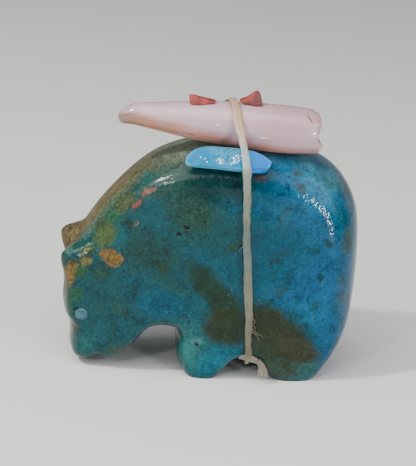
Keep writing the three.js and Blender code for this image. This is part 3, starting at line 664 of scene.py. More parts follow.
        ("farOchre", (-15.5, 7.4, 14.5), (1.3, 2.6, 1.8), 0, 0.3, 0.9, (0.115, 0.07, 0.014)),
        ("farGreen", (13, 8.4, 24), (3.5, 3, 4.5), 20, 0.6, 0.6, (0.008, 0.038, 0.025)),
    ],
}


# Polished blue-green stone with brown matrix: a head-to-rump change of hue, clouds, grain, and named
# patches whose borders are pushed about by noise, then pits and a fine grain in the bump
def stoneMaterial():
    make = Maker("blueGreenStone")
    x, y, z = make.axes()
    cloud = make.noise(0.17, 5, 0.62, 0.5)
    mottle = make.noise(0.6, 5, 0.68, 0.4)
    grain = make.noise(2.6, 4, 0.72)
    dust = make.noise(7.5, 2, 0.6)
    warp = make.noise(0.45, 8, 0.78, output=1)
    shove = make.scaled(make.combined("SUBTRACT", warp, (0.5, 0.5, 0.5)), stone["shove"])
    pushed = make.combined("ADD", make.place, shove)
    along = x + (cloud - 0.5) * 22
    rumpward = make.ease(along, 1, 13)
    headward = make.ease(along, -3, -15)
    colour = make.blend(stone["middle"], stone["blue"], rumpward)
    colour = make.blend(colour, stone["teal"], headward)
    colour = make.blend(colour, stone["moss"], make.ease(mottle, 0.52, 0.68) * (0.8 - 0.55 * rumpward))
    colour = make.blend(colour, stone["ink"], make.ease(mottle, 0.46, 0.3) * (0.7 - 0.35 * headward))
    # the back's worn brown skin
    streaks = make.noise(1.0, 5, 0.65, place=make.stretch((0.5, 2.6, 0.5)))
    skin = make.blend(stone["backGreen"], stone["tan"], make.ease(x + streaks * 9, -2, -10))
    skin = make.blend(skin, stone["moss"], make.ease(streaks, 0.52, 0.66) * 0.6)
    forward = make.ease(x + (mottle - 0.5) * 9, 6, -3)
    worn = make.ease(make.attribute("back") + (mottle - 0.5) * 1.2, 0.25, 0.85) * (0.2 + 0.8 * forward)
    colour = make.blend(colour, skin, worn)
    for name, *shape, tint in stone["patches"]:
        colour = make.blend(colour, tint, make.patch(*shape, place=pushed))
    # unevenness of every size, coarser where the stone is pitted, then light and dark specks
    rough = make.patches(stone["roughZones"], 0.7 * worn, soft=0.6)
    uneven = 1 + 1.7 * (mottle - 0.5) + (2.1 + 1.6 * rough) * (grain - 0.5) + 0.9 * (dust - 0.5)
    colour = make.scaled(colour, uneven)
    colour = make.blend(colour, stone["speck"], make.ease(grain, 0.62, 0.8) * (0.4 + 0.2 * rough))
    colour = make.blend(colour, stone["darkSpeck"], make.ease(grain, 0.36, 0.24) * 0.6)
    colour = make.blend(colour, stone["pit"], make.ease(dust, 0.42, 0.3) * rough * 0.7)
    # pale flecks, thick in a few zones and thin elsewhere
    zones = make.patches(stone["fleckZones"], 0.06, soft=0.7)
    flecks = make.ease(make.noise(2.6, 5, 0.75, 0.6), 0.58, 0.7) * zones
    colour = make.blend(colour, stone["fleck"], flecks * 0.42)
    # small scattered pits, and the few large holes
    pits = make.ease(make.cells(0.8), 0.15, 0.06) * make.ease(make.noise(0.42, 2), 0.55, 0.64)
    colour = make.blend(colour, stone["pitDeep"], pits * 0.85)
    holes = make.patches(stone["holes"], soft=0.5)
    colour = make.blend(colour, stone["hole"], holes)
    # the crazed place on the rump breaks up the light that it mirrors
    crazed = make.patch(*stone["crazed"])
    height = 0.7 * make.noise(2.3, 1, 0.5) + 0.4 * mottle + 0.35 * crazed * make.noise(3.2, 1, 0.5)
    height = height - 1.6 * pits + (0.1 + rough) * dust + 0.8 * flecks - 5 * holes
    roughness = 0.07 + 0.1 * mottle + 0.2 * pits + 0.3 * worn + 0.12 * rough + 0.3 * holes - 0.06 * crazed
    return make.surface(colour, roughness, height, **{"Specular IOR Level": 0.23})


makePiece("bearBody", bearPoints, bearFaces, stoneMaterial(), ["bear_body"], {"back": bearBack})
print("bear done")


# The eyes

eyes = {
    "radii": (0.93, 0.83),
    "squareness": 2.6,
    "dome": 0.1,
    "proud": 0.06,
    "sunk": (-0.5, -0.25),  # mm, the two rings inside the socket
    "lean": (-0.28, -0.02),  # forward and up, to 1 sideways
    "outward": 0.42,  # mm from the middle of its node
    "backward": 0.1,
    "around": 48,
    "rows": 12,
    "deep": (0.012, 0.066, 0.094),
    "pale": (0.034, 0.115, 0.136),
    "dark": (0.012, 0.045, 0.06),
}


# A low dome with a rounded square rim, (|cos|^n + |sin|^n)^(-1/n) of the angle with n its squareness:
# its height falls with the fourth power of the share of the radius, then turns down at its rim
def eyeDome(centre, outward):
    share = np.linspace(1, 0, eyes["rows"] + 1)[:-1]
    angle = roundAngles(eyes["around"])
    radius = np.concatenate([[1, 1], share])
    power = eyes["squareness"]
    square = (np.abs(np.cos(angle)) ** power + np.abs(np.sin(angle)) ** power) ** (-1 / power)
    wide = square * np.cos(angle) * eyes["radii"][0]
    tall = square * np.sin(angle) * eyes["radii"][1]
    height = np.append(eyes["sunk"], eyes["proud"] + eyes["dome"] * (1 - share**4) - 0.05 * share**12)
    first = unit(np.cross(outward, (0, 0, 1)))
    second = np.cross(outward, first)
    rings = (centre + radius[:, None, None] * (wide[None, :, None] * first + tall[None, :, None] * second)
             + height[:, None, None] * outward)
    ends = np.array([centre + height[0] * outward, centre + (eyes["proud"] + eyes["dome"]) * outward])
    return np.vstack([rings.reshape(-1, 3), ends]), ringFaces(len(radius), eyes["around"])


# Clouded pale blue stone
def eyeMaterial():
    make = Maker("eyeStone")
    cloud = make.noise(1.1, 3, 0.6, 0.4)
    grain = make.noise(6, 3)
    colour = make.blend(eyes["deep"], eyes["pale"], make.ease(cloud, 0.4, 0.65))
    colour = make.blend(colour, eyes["dark"], make.ease(grain, 0.55, 0.75) * 0.5)
    return make.surface(colour, 0.2 + 0.15 * cloud, grain, 0.02)


eyeStone = eyeMaterial()
for name, node in (("eyeLeft", "eye_left"), ("eyeRight", "eye_right")):
    middle = sum(boxOf(node)) / 2
    # it leans with the cheek
    outward = unit(np.array([eyes["lean"][0], np.sign(middle[1]), eyes["lean"][1]]))
    centre = middle + outward * eyes["outward"] + (eyes["backward"], 0, 0)
    points, faces = eyeDome(centre, outward)
    makePiece(name, points, faces, eyeStone, [node])
print("eyes done")


# The shell point

shell = {
    "lilac": (0.48, 0.335, 0.365),
    "mauve": (0.42, 0.26, 0.28),
    "violet": (0.38, 0.28, 0.36),
    "peach": (0.35, 0.145, 0.075),
    "rose": (0.52, 0.22, 0.155),
    "tip": (0.24, 0.145, 0.1),
    "line": (0.5, 0.37, 0.34),
    "crack": (0.1, 0.06, 0.07),
    "paintedLightHem": (0.9, 0.5, 0.4),
    "glint": (1.0, 0.97, 0.94),
    # place, radii, slope and softness of each mark
    "fissure": ((12.6, -5, 37.8), (0.62, 3, 0.09), -50, 0.6),
    "hairline": ((-3.4, -5, 34.9), (0.5, 3, 0.05), -20, 0.6),
    "bump": ((0.08, -5.7, 36.6), (0.11, 1, 0.2), -30, 0.5),
    "ridge": ((6.4, -5.93, 35.16), (0.8, 1, 0.075), -5, 0.5),
    "length": 27.8,
    "width": 6.3,
    "dip": 3,
    "droop": 0.09,
    # share of the length and of the half width
    "profile": [
        (0, 0), (0.002, 0.1), (0.012, 0.25), (0.035, 0.36), (0.085, 0.47), (0.2, 0.6), (0.3, 0.71),
        (0.43, 0.85), (0.57, 0.95), (0.7, 0.99), (0.82, 1), (0.92, 0.97), (0.97, 0.91), (0.995, 0.78),
        (1, 0.6), (1, 0.0),
    ],
    "keel": {"angle": 222, "span": 0.3, "rise": 0.035},
    # how much fuller below than above: share of the length, span and amount
    "fuller": [(0.33, 0.3, 0.11), (0.8, 0.17, 0.09)],
    # the break: waves of its edge as count, height in mm and phase, and lumps as height, slopes and phase
    "ragged": [(5, 0.1, 0.6), (11, 0.07, 2), (17, 0.05, 0)],
    "lumps": [(0.07, 3.1, -2.2, 1), (0.045, 2.3, 5.2, 2.4)],
    "dent": {"depth": 0.07, "height": -0.15, "span": 0.3},
    "around": 160,
    "rows": 220,
}


# A turned spindle: radius from the profile at each share of the length, the tip drooping,
# and the thick end broken off in a step with a slanting dent
def shellSurface():
    width = shell["width"]
    line = openLine(np.array(shell["profile"]) * [shell["length"], width / 2], shell["rows"] + 2)[1:-1]
    angle = roundAngles(shell["around"])
    along = np.repeat(line[:, :1], shell["around"], 1)
    radius = np.maximum(line[:, 1:], 0.001)
    y = radius * np.cos(angle)
    z = radius * np.sin(angle)
    share = along / shell["length"]
    up = z / (width / 2)
    cap = radius / (width / 2)
    droop = shell["droop"] * width * (1 - easeStep(0, 0.09, share))
    # the break: a dent, further out at the bottom than at the top, lumps and a ragged edge
    dent = shell["dent"]["depth"] * width * bell(up - shell["dent"]["height"], shell["dent"]["span"])
    lean = 0.6 * easeStep(0, -0.7, up) - 0.5 * easeStep(0.3, 0.95, up)
    ragged = wavesOf(shell["ragged"], angle)
    lumps = 0.1 * np.sin(1.9 * y + 0.7) * np.sin(1.5 * z + 2)
    lumps = lumps + sum(rise * np.sin(a * y + b * z + phase) for rise, a, b, phase in shell["lumps"])
    broken = dent * easeStep(0.98, 1, share) - lean * easeStep(0.92, 0.99, share)
    broken = broken + (0.12 + ragged * easeStep(0.5, 0.85, cap) + lumps) * easeStep(0.93, 1, share)
    # a soft keel along the lower left, where the light catches
    keel = shell["keel"]
    turned = np.mod(angle - math.radians(keel["angle"]) + math.pi, 2 * math.pi) - math.pi
    swell = keel["rise"] * bell(turned, keel["span"]) * easeStep(0.25, 0.6, share)
    swell = 1 + swell * (1 - easeStep(0.9, 1, share))
    lower = sum(amount * bell(share - place, span) for place, span, amount in shell["fuller"])
    fuller = 1 + lower * easeStep(0.1, -0.5, np.sin(angle))
    points = np.stack([along - broken, y * swell, z * swell * fuller - droop], -1)
    ends = np.array([[0, 0, -shell["droop"] * width], points[-1].mean(0)])
    x, y, z = np.vstack([points.reshape(-1, 3), ends]).T
    dip = math.radians(shell["dip"])
    points = np.stack([x * math.cos(dip) + z * math.sin(dip), y, -x * math.sin(dip) + z * math.cos(dip)], -1)
    # the sine of the angle, 1 on its top line and -1 on its lowest, evened out towards the end's middle
    level = np.sin(angle) * np.where(share > 0.9, easeStep(0, 0.8, cap), 1)
    return points, np.append(level.ravel(), [0, 0])


shellPoints, shellLevel = shellSurface()
shellPoints = placeAt(shellPoints, "shell_point")
shellFaces = ringFaces(shell["rows"], shell["around"])


# Pink shell: lilac white above, peach below, with fine growth lines along it, a hairline and a fissure
def shellMaterial():
    make = Maker("pinkShell")
    x, y, z = make.axes()
    cloud = make.noise(0.22, 3, 0.5, 0.4)
    lines = make.noise(1.0, 4, 0.6, place=make.stretch((0.35, 1.6, 2.4)))
    level = make.attribute("level")
    warm = level + 0.036 * x + (cloud - 0.5) * 0.4 + (lines - 0.5) * 0.25
    peach = make.blend(shell["peach"], shell["rose"], make.ease(x, -8, -2))
    pale = make.blend(shell["lilac"], shell["mauve"], make.ease(x, 3, 9))
    colour = make.blend(pale, peach, make.ease(warm, -0.08, -0.55) * 0.95)
    colour = make.blend(colour, shell["violet"], make.ease(cloud, 0.45, 0.7) * 0.4)
    # painted light: the lowest edge is lighter peach, offsetting its shade and standing for the glow through
    # the shell
    colour = make.blend(colour, shell["paintedLightHem"], make.ease(level, -0.72, -0.95) * 0.7)
    # painted shade: the tip's lower side browner and darker
    colour = make.blend(colour, shell["tip"], make.ease(x, -9, -12.4) * make.ease(level, 1, 0.2))
    colour = make.blend(colour, shell["line"], make.ease(lines, 0.55, 0.72) * 0.22)
    fissure, hairline = make.patch(*shell["fissure"]), make.patch(*shell["hairline"])
    colour = make.blend(colour, shell["crack"], fissure + hairline)
    # two small proud places that catch the light, each with a painted highlight
    bump, ridge = make.patch(*shell["bump"]), make.patch(*shell["ridge"])
    colour = make.blend(colour, shell["glint"], 0.8 * bump + 0.6 * ridge)
    height = lines * 0.6 + make.noise(5, 2) * 0.3 - fissure + 5 * bump + 2.5 * ridge
    gloss = {"Subsurface Weight": 0.2, "Subsurface Scale": 0.002, "Coat Weight": 0.5, "Coat Roughness": 0.04}
    return make.surface(colour, 0.14 + 0.12 * lines, height, 0.012, **gloss)


makePiece("shellPoint", shellPoints, shellFaces, shellMaterial(), ["shell_point"],
          {"level": shellLevel})
print("shell done")


# The bead and the chips: pebbles cut with flat faces

# A pebble: its side outline scaled down towards a flat face on each side. Across goes from the left face
# to the right one; at each step the outline has its own scale in length and in height and its own depth.
def pebble(outline, size, steps, around, across):
    line = closedLine(outline, around) * [size[0] / 2, size[2] / 2]
    shape = openLine(steps, across)
    x = line[None, :, 0] * shape[:, 0:1]
    z = line[None, :, 1] * shape[:, 1:2]
    y = np.repeat(shape[:, 2:3], around, 1) * size[1] / 2
    ends = np.array([[0, y[0, 0], 0], [0, y[-1, 0], 0]])
    return np.vstack([np.stack([x, y, z], -1).reshape(-1, 3), ends])


# Cuts a pebble with flat faces: points beyond each plane are drawn back on to it
def facet(points, planes):
    for direction, reach in planes:
        direction = unit(np.array(direction))
        beyond = np.maximum(points @ direction - reach, 0)
        points = points - beyond[:, None] * direction
    return points


bead = {
    "sky": (0.0, 0.17, 0.34),
    "light": (0.0, 0.21, 0.41),
    "grey": (0.07, 0.26, 0.36),
    "azure": (0.0, 0.155, 0.56),
    "edge": (0.05, 0.36, 0.52),
    "rim": (0.09, 0.38, 0.52),
    "glintPaint": (0.86, 0.95, 0.97),
    "matrix": (0.03, 0.06, 0.06),
    # place, radii, slope, softness and strength of the places with painted highlight specks, the veined one
    # and the broken one
    "glintPainted": [
        ((0.5, -9.2, 32.6), (0.6, 2, 0.36), 6, 0.5, 1),
        ((2.7, -9.2, 32.9), (0.85, 2, 0.45), 42, 0.5, 1),
        ((1.7, -9.3, 32.3), (1.3, 2, 0.45), 4, 0.5, 0.4),
    ],
    "veined": ((1.6, -9, 33.6), (1.7, 3, 0.9), 0, 0.7),
    "glitter": ((1.4, -9.2, 32.8), (1.7, 2, 0.75), 0, 0.5),
    "glints": [(-2.09, -9.19, 32.89), (-1.51, -9.23, 32.75), (-1.21, -9.36, 32.36)],
    "glintShape": ((0.085, 1, 0.085), 0, 0.6, 0.9),
    "size": (11.6, 2.8, 3.3),
    "lean": -18,
    "around": 140,
    "across": 64,
    "outline": [
        (-1, -0.2), (-0.98, 0.05), (-0.85, 0.55), (-0.72, 0.82), (-0.5, 1), (-0.1, 1), (0.19, 0.97),
        (0.52, 0.83), (0.7, 0.62), (0.88, 0.3), (1, 0), (0.99, -0.25), (0.93, -0.65), (0.85, -0.92),
        (0.67, -1), (0.2, -0.94), (-0.4, -0.8), (-0.9, -0.68), (-0.99, -0.5),
    ],
    # scale in length, scale in height, share of the depth, from the left face to the right one
    "steps": [
        (0.5, 0.4, -1), (0.86, 0.76, -1), (0.89, 0.81, -0.975), (0.93, 0.88, -0.84),
        (0.985, 0.965, -0.52), (1, 1, -0.36), (1, 1, 0.2), (0.985, 0.975, 0.33), (0.9, 0.82, 0.68),
        (0.81, 0.64, 0.97), (0.76, 0.58, 1), (0.4, 0.3, 1),
    ],
    # outward direction and distance from the middle, mm
    "planes": [((0.36, -0.93, 0.05), 2.27), ((0.3, -0.55, -0.78), 2.5), ((-0.45, -0.85, 0.15), 2.95)],
    "paleEdge": {"depth": -0.5, "width": 0.13},  # shares of the depth
}
beadPoints = pebble(bead["outline"], bead["size"], bead["steps"], bead["around"], bead["across"])
beadTurn = math.radians(bead["lean"])
x, y, z = facet(beadPoints, bead["planes"]).T
beadPoints = np.stack([x, y * math.cos(beadTurn) - z * math.sin(beadTurn),
                       y * math.sin(beadTurn) + z * math.cos(beadTurn)], -1)
beadPoints = placeAt(beadPoints, "turquoise_bead")
beadFaces = ringFaces(bead["across"], bead["around"])


# Pale blue stone with a greyer band along the top, and a web of thin dark matrix
def beadMaterial():
    make = Maker("paleTurquoise")
    x, y, z = make.axes()
    cloud = make.noise(0.5, 3, 0.5, 0.5)
    colour = make.blend(bead["sky"], bead["light"], make.ease(cloud, 0.4, 0.65))
    greyBand = make.ease(z + (cloud - 0.5) * 1.2, 33.1, 33.9) * make.ease(x, -2, 0)
    colour = make.blend(colour, bead["grey"], greyBand * 0.6)
    colour = make.blend(colour, bead["azure"], make.ease(x, 4, 5.2) * 0.85)
    near = make.patch(*bead["veined"])
    web = make.cells(0.62, make.stretch((1, 1, 1.4)), "DISTANCE_TO_EDGE")
    web = make.ease(web, 0.035, 0.0) * make.ease(cloud, 0.5, 0.6) * near
    colour = make.blend(colour, bead["matrix"], web)
    colour = make.blend(colour, bead["matrix"], near * make.ease(make.noise(2.4, 3), 0.52, 0.62) * 0.7)
    # small broken faces that catch the light, with lighter blue specks painted in the same place as painted
    # sparkle
    glitter = make.patch(*bead["glitter"])
    faces = make.cells(2.6, make.stretch((1, 1, 1.3)), "SMOOTH_F1")
    sparklePaint = make.ease(make.noise(2.2, 3, 0.6), 0.46, 0.6) * glitter
    colour = make.blend(colour, bead["edge"], sparklePaint * 0.6)
    # painted highlights: near-white specks in the listed places, and small dots at the glints
    glintPaint = make.patches(bead["glintPainted"])
    glintPaint = make.ease(make.noise(4, 3, 0.62, 0.5) + 0.1 * glintPaint, 0.63, 0.68) * make.ease(glintPaint, 0, 0.7)
    glintPaint = make.patches([(spot, *bead["glintShape"]) for spot in bead["glints"]], glintPaint)
    colour = make.blend(colour, bead["glintPaint"], glintPaint)
    # paler below the near face and in a line round it
    colour = make.blend(colour, bead["rim"], make.ease(z, 32, 31.4) * make.ease(x, 4.6, 3.6) * 0.6)
    colour = make.blend(colour, bead["rim"], make.attribute("rim") * (0.2 + 0.5 * cloud))
    grain = make.noise(4, 3, 0.6)
    height = 0.4 * grain + 0.4 * cloud + 5 * faces * glitter
    matt = 0.3 * make.ease(x, 0.2, -0.8)
    return make.surface(colour, 0.08 + 0.12 * grain + matt, height, **{"Specular IOR Level": 0.15})


depths = openLine(bead["steps"], bead["across"])[:, 2]
paleEdge = bell(depths - bead["paleEdge"]["depth"], bead["paleEdge"]["width"])
beadRim = np.append(np.repeat(paleEdge, bead["around"]), [0, 0])
makePiece("turquoiseBead", beadPoints, beadFaces, beadMaterial(), ["turquoise_bead"],
          {"rim": beadRim})
print("bead done")

chips = {
    "front": {
        "node": "red_chip_front",
        "size": (3.65, 1.6, 1.14),
        "sink": 0.16,
        "outline": [
            (-1, 0.92), (-0.97, 0.97), (-0.8, 1), (-0.55, 0.97), (-0.2, 0.66), (0.3, 0.22),
            (0.85, -0.24), (1, -0.4), (0.97, -0.47), (0.6, -0.7), (0.15, -0.95), (-0.2, -1),
            (-0.6, -0.93), (-0.84, -0.82), (-0.88, -0.75), (-0.94, 0),
        ],
    },
    "rear": {
        "node": "red_chip_rear",
        "size": (3.15, 1.6, 2),
        "sink": 0,
        "outline": [
            (-1, -0.56), (-0.97, -0.5), (-0.4, -0.04), (-0.05, 0.5), (0.3, 0.92), (0.44, 1),
            (0.52, 0.98), (0.66, 0.78), (0.8, 0.25), (0.96, -0.72), (0.98, -0.86), (0.9, -0.93),
            (0.4, -1), (0, -0.92), (-0.4, -0.74), (-0.9, -0.62),
        ],
    },
    "back": 0.32,  # mm, from the middle of its node towards the shell's top line
    "gap": 0.01,  # mm above the shell
    "around": 120,
    "across": 40,
    "steps": [
        (0.3, 0.25, -0.96), (0.72, 0.66, -0.94), (0.93, 0.9, -0.82), (0.985, 0.98, -0.66), (1, 1, -0.5),
        (1, 1, 0.1), (0.95, 0.9, 0.5), (0.8, 0.72, 0.85), (0.4, 0.35, 1),
    ],
    "red": (0.28, 0.028, 0.021),
    "deepRed": (0.13, 0.022, 0.017),
    "rearRed": (0.1, 0.02, 0.016),
    "pale": (0.34, 0.1, 0.075),
    "dark": (0.06, 0.012, 0.012),
}


# Height of the shell's upper side over a place, read from the shell's own points: its top line, falling
# away sideways as a circle does
def shellTop(x, y):
    axis = shellPoints[-1, 1]
    grid = shellPoints[:-2].reshape(shell["rows"], shell["around"], 3)
    line = grid[np.arange(shell["rows"]), grid[:, :, 2].argmax(1)]
    radius = np.interp(x, line[:, 0], (grid[:, :, 1].max(1) - grid[:, :, 1].min(1)) / 2)
    top = np.interp(x, line[:, 0], line[:, 2])
    return top - radius + np.sqrt(np.maximum(radius**2 - (y - axis) ** 2, 0.2))


# A chip: a pebble pressed to a wedge, thick below and thin above, whose underside lies on the shell.
# Each point keeps its share of the height and is let down, the lower the more, to the shell below it.
def chipSurface(chip):
    points = pebble(chip["outline"], chip["size"], chips["steps"], chips["around"], chips["across"])
    x, y, z = placeAt(points, chip["node"]).T
    base = z.min()
    share = np.clip((z - base) / chip["size"][2], 0, 1)
    middle = (y.min() + y.max()) / 2
    y = (y - middle) * (1 - 0.5 * share) + middle + chips["back"] + 0.1 * share
    z = z + (shellTop(x, y) + chips["gap"] - base) * (1 - share) - chip["sink"] * share
    grain = np.sin(5.1 * x + 3.7 * z) * np.sin(4.3 * z - 2.9 * y)
    return np.stack([x, y + 0.03 * grain, z], -1)


# Red stone, mottled and a little porous, with paler and darker flecks; the rear chip is the deeper red
def chipMaterial():
    make = Maker("redStone")
    cloud = make.noise(0.9, 4, 0.6, 0.4)
    grain = make.noise(5, 3, 0.65)
    x, y, z = make.axes()
    colour = make.blend(chips["red"], chips["deepRed"], make.ease(cloud, 0.45, 0.62))
    colour = make.blend(colour, chips["rearRed"], make.ease(x + cloud, 4.9, 5.6) * 0.8)
    colour = make.blend(colour, chips["pale"], make.ease(grain, 0.6, 0.75) * 0.3)
    colour = make.blend(colour, chips["dark"], make.ease(grain, 0.42, 0.3) * 0.5)
    return make.surface(colour, 0.42 + 0.25 * grain, 0.8 * grain + cloud)


redStone = chipMaterial()
chipFaces = ringFaces(chips["across"], chips["around"])
for name, chip in (("redChipFront", chips["front"]), ("redChipRear", chips["rear"])):
    makePiece(name, chipSurface(chip), chipFaces, redStone, [chip["node"]])
print("chips done")


# The sinew

sinew = {
    "foot": 63.6,  # percent: where its plane meets the ground
    "turn": -0.16,
    "lean": -0.11,
    # height in mm and width in mm: flattened on the shell, pulled thin over the belly
    "widths": [(2.5, 0.45), (4, 0.6), (5, 0.78), (8, 0.95), (12, 1.16), (17, 1.08), (24, 0.98), (29, 1.0),
               (31.5, 1.12), (33.5, 1.02), (35, 0.94), (37, 1.22), (39, 1.32), (39.7, 1.0)],
    # height and sideways step, both in mm, on the left flank
    "stepsAside": [(3, -0.5), (7, -0.55), (11, -0.2), (20, -0.2), (28, 0.15), (31.5, 0.27), (35, 0.25),
                   (37.5, 0.1), (40, 0.2)],
    "smoothing": 20,  # steps to either side
    # height in mm and colour; darker down the flank as painted shade, and blue-grey where it passes the bead
    # as a painted reflection of the bead
    "colours": [(2, (0.24, 0.22, 0.16)), (5, (0.1, 0.09, 0.055)), (13, (0.126, 0.128, 0.081)),
                (20, (0.08, 0.11, 0.094)), (27, (0.137, 0.156, 0.102)), (31, (0.18, 0.205, 0.17)),
                (32.6, (0.27, 0.35, 0.35)), (33.6, (0.28, 0.36, 0.35)), (36, (0.46, 0.32, 0.21)),
                (40, (0.39, 0.25, 0.156))],
    "top": 42,  # mm, the height at the end of the ramp of colours
    "paleThread": (0.6, 0.54, 0.42),
    "darkThread": (0.05, 0.045, 0.03),
    # height in mm and thickness in mm
    "thicknesses": [(3.4, 0.28), (5, 0.6), (31, 0.6), (35.5, 0.36)],
    "thickness": 0.6,
    "gap": 0.03,
    "beside": (-0.45, 0, 0.45),  # mm, planes in which it looks for what it lies on
    # sideways waves as count, height in mm and phase, then waves of the width as count, share and phase
    "waves": [(9, 0.03, 0.6), (23, 0.02, 1.9), (57, 0.012, 0)],
    "swells": [(7, 0.04, 1), (17, 0.035, 2)],
    "twist": 0.35,  # radians in each mm
    "circle": 24,  # corners of the small circle that widens its line
    "around": 40,
    "steps": 1100,
}
normal = unit(np.array([1, -sinew["turn"], -sinew["lean"]]))
acrossAxis = unit(np.array([sinew["turn"], 1, 0]))
upAxis = np.cross(normal, acrossAxis)
planeOrigin = np.array([sinew["foot"] * percent, 0, 0]) + toFigure


# Points where the edges of a piece's faces pass through a plane beside the sinew's own, as (across, up)
def sectionOf(points, faces, aside):
    quads = np.array([face if len(face) == 4 else [*face, face[2]] for face in faces])
    ends = np.stack([quads, np.roll(quads, -1, 1)], -1).reshape(-1, 2)
    local = points - planeOrigin
    height = local @ normal - aside
    a, b = height[ends[:, 0]], height[ends[:, 1]]
    crossing = (a < 0) != (b < 0)
    share = (a / np.where(crossing, a - b, 1))[crossing, None]
    met = local[ends[crossing, 0]] * (1 - share) + local[ends[crossing, 1]] * share
    return np.stack([met @ acrossAxis, met @ upAxis], -1)


# The tightest line round flat points, counterclockwise: what is left when every inward turn is dropped
def tightLine(points):
    order = points[np.lexsort((points[:, 1], points[:, 0]))]

    def chain(rows):
        kept = []
        for p in rows:
            while len(kept) > 1 and ((kept[-1][0] - kept[-2][0]) * (p[1] - kept[-2][1])
                                     - (kept[-1][1] - kept[-2][1]) * (p[0] - kept[-2][0])) <= 1e-9:
                kept.pop()
            kept.append(p)
        return kept[:-1]
    return np.array(chain(order) + chain(order[::-1]))


# The sinew's line in its own plane: the tight line round all that it holds, widened by a small circle
def sinewLine():
    held = [(bearPoints, bearFaces), (shellPoints, shellFaces), (beadPoints, beadFaces)]
    sections = [sectionOf(points, faces, aside) for aside in sinew["beside"] for points, faces in held]
    wrapped = tightLine(np.vstack(sections))
    angle = roundAngles(sinew["circle"])
    circle = (sinew["thickness"] / 2 + sinew["gap"]) * np.stack([np.cos(angle), np.sin(angle)], -1)
    line = tightLine((wrapped[:, None] + circle[None]).reshape(-1, 2))
    return evenly(np.vstack([line, line[:1]]), sinew["steps"], False)


# A flattened bundle of fibres along a path. Its section is an ellipse with ridges that wind slowly round
# it: radius = 1 + small cosines of the angle and of the travel, wound by twist. Ups is the outward
# direction, and swell, one number for each step, widens it.
def bundle(path, run, ups, width, thickness, around, twist, ridges=9, phase=0.0, swell=1.0):
    ups = unit(ups - (ups * run).sum(1, keepdims=True) * run)
    sides = np.cross(run, ups)
    travel = travelAlong(path)[:, None]
    angle = roundAngles(around)
    wind = twist * travel
    ripple = 1 + 0.06 * np.cos(ridges * angle + ridges * wind * 0.5 + phase)
    ripple = ripple + 0.035 * np.cos((ridges + 4) * angle - 3 * wind + 1.3 + phase)
    ripple = ripple + 0.03 * np.cos(3 * angle + 2 * wind)
    out = ripple * np.cos(angle) * thickness[:, None] / 2
    aside = ripple * np.sin(angle) * width[:, None] / 2 * swell
    rings = path[:, None] + out[..., None] * ups[:, None] + aside[..., None] * sides[:, None]
    return rings.reshape(-1, 3), np.repeat(travel, around, 1), np.repeat(angle[None], len(path), 0)


# Fibres: greyed cream, its colour going with the height, with painted shade on the flank and a painted
# reflection of the bead, and with darker and lighter threads along the bundle
def sinewMaterial():
    make = Maker("sinew")
    along = make.attribute("along")
    angles = make.attribute("round")
    place = make.add("ShaderNodeCombineXYZ", None, {0: along * 0.35, 1: angles * 2.4, 2: along * 0.05})
    threads = make.noise(1.6, 5, 0.65, 0.2, place)
    blotch = make.noise(0.35, 3)
    x, y, z = make.axes()
    stops = [(height / sinew["top"], (*tint, 1)) for height, tint in sinew["colours"]]
    colour = make.add("ShaderNodeValToRGB", {"stops": stops}, {"Fac": z * (1 / sinew["top"])}, "Color")
    uneven = 1 + 1.6 * (threads - 0.5) + 0.9 * (make.noise(6, 3, 0.6) - 0.5) + 0.7 * (blotch - 0.5)
    colour = make.scaled(colour, uneven)
    colour = make.blend(colour, sinew["paleThread"], make.ease(threads, 0.62, 0.75) * 0.3)
    colour = make.blend(colour, sinew["darkThread"], make.ease(threads, 0.4, 0.28) * 0.5)
    height = threads + 0.3 * make.noise(7, 2)
    gloss = {"Subsurface Weight": 0.08, "Subsurface Scale": 0.0005,
             "Coat Weight": 0.3, "Coat Roughness": 0.22}
    return make.surface(colour, 0.55 + 0.2 * threads, height, 0.08, **gloss)


# The one turn of sinew: its line, moved sideways on the left flank and by small waves, thinner at the knot
# and on the shell, with a whole number of winds so that its ridges meet
def sinewTurn():
    flat = sinewLine()
    across, up = unit(np.roll(flat, -1, 0) - np.roll(flat, 1, 0)).T[:, :, None]
    path = planeOrigin + flat[:, :1] * acrossAxis + flat[:, 1:] * upAxis
    ups = up * acrossAxis - across * upAxis
    angle = roundAngles(sinew["steps"])[:, None]
    path = path + normal * wavesOf(sinew["waves"], angle)
    stray = tableAt(sinew["stepsAside"], path[:, 2]) * easeStep(0, -4, path[:, 1])
    near = sinew["smoothing"]
    window = np.full(2 * near + 1, 1 / (2 * near + 1))
    stray = np.convolve(np.concatenate([stray[-near:], stray, stray[:near]]), window, "valid")
    path = path + stray[:, None] * normal
    width = tableAt(sinew["widths"], path[:, 2])
    thick = tableAt(sinew["thicknesses"], path[:, 2])
    path = path - ups * (sinew["thickness"] - thick)[:, None] / 2
    run = unit(np.roll(path, -1, 0) - np.roll(path, 1, 0))
    travelled = travelAlong(np.vstack([path, path[:1]]))
    winds = round(sinew["twist"] * travelled[-1] / (2 * math.pi)) * 2 * math.pi / travelled[-1]
    loop = travelled[:-1, None] / travelled[-1] * 2 * math.pi
    swell = 1 + wavesOf(sinew["swells"], loop) + 0.04 * np.sin(43 * loop + 2 * np.sin(5 * loop))
    print("sinew box", path.min(0).round(2), path.max(0).round(2))
    return bundle(path, run, ups, width, thick, sinew["around"], winds, swell=swell)


sinewLook = sinewMaterial()
points, along, angles = sinewTurn()
turnFaces = ringFaces(sinew["steps"], sinew["around"], True)
makePiece("sinewTurn", points, turnFaces, sinewLook, ["sinew_tie"],
          {"along": along, "round": angles})


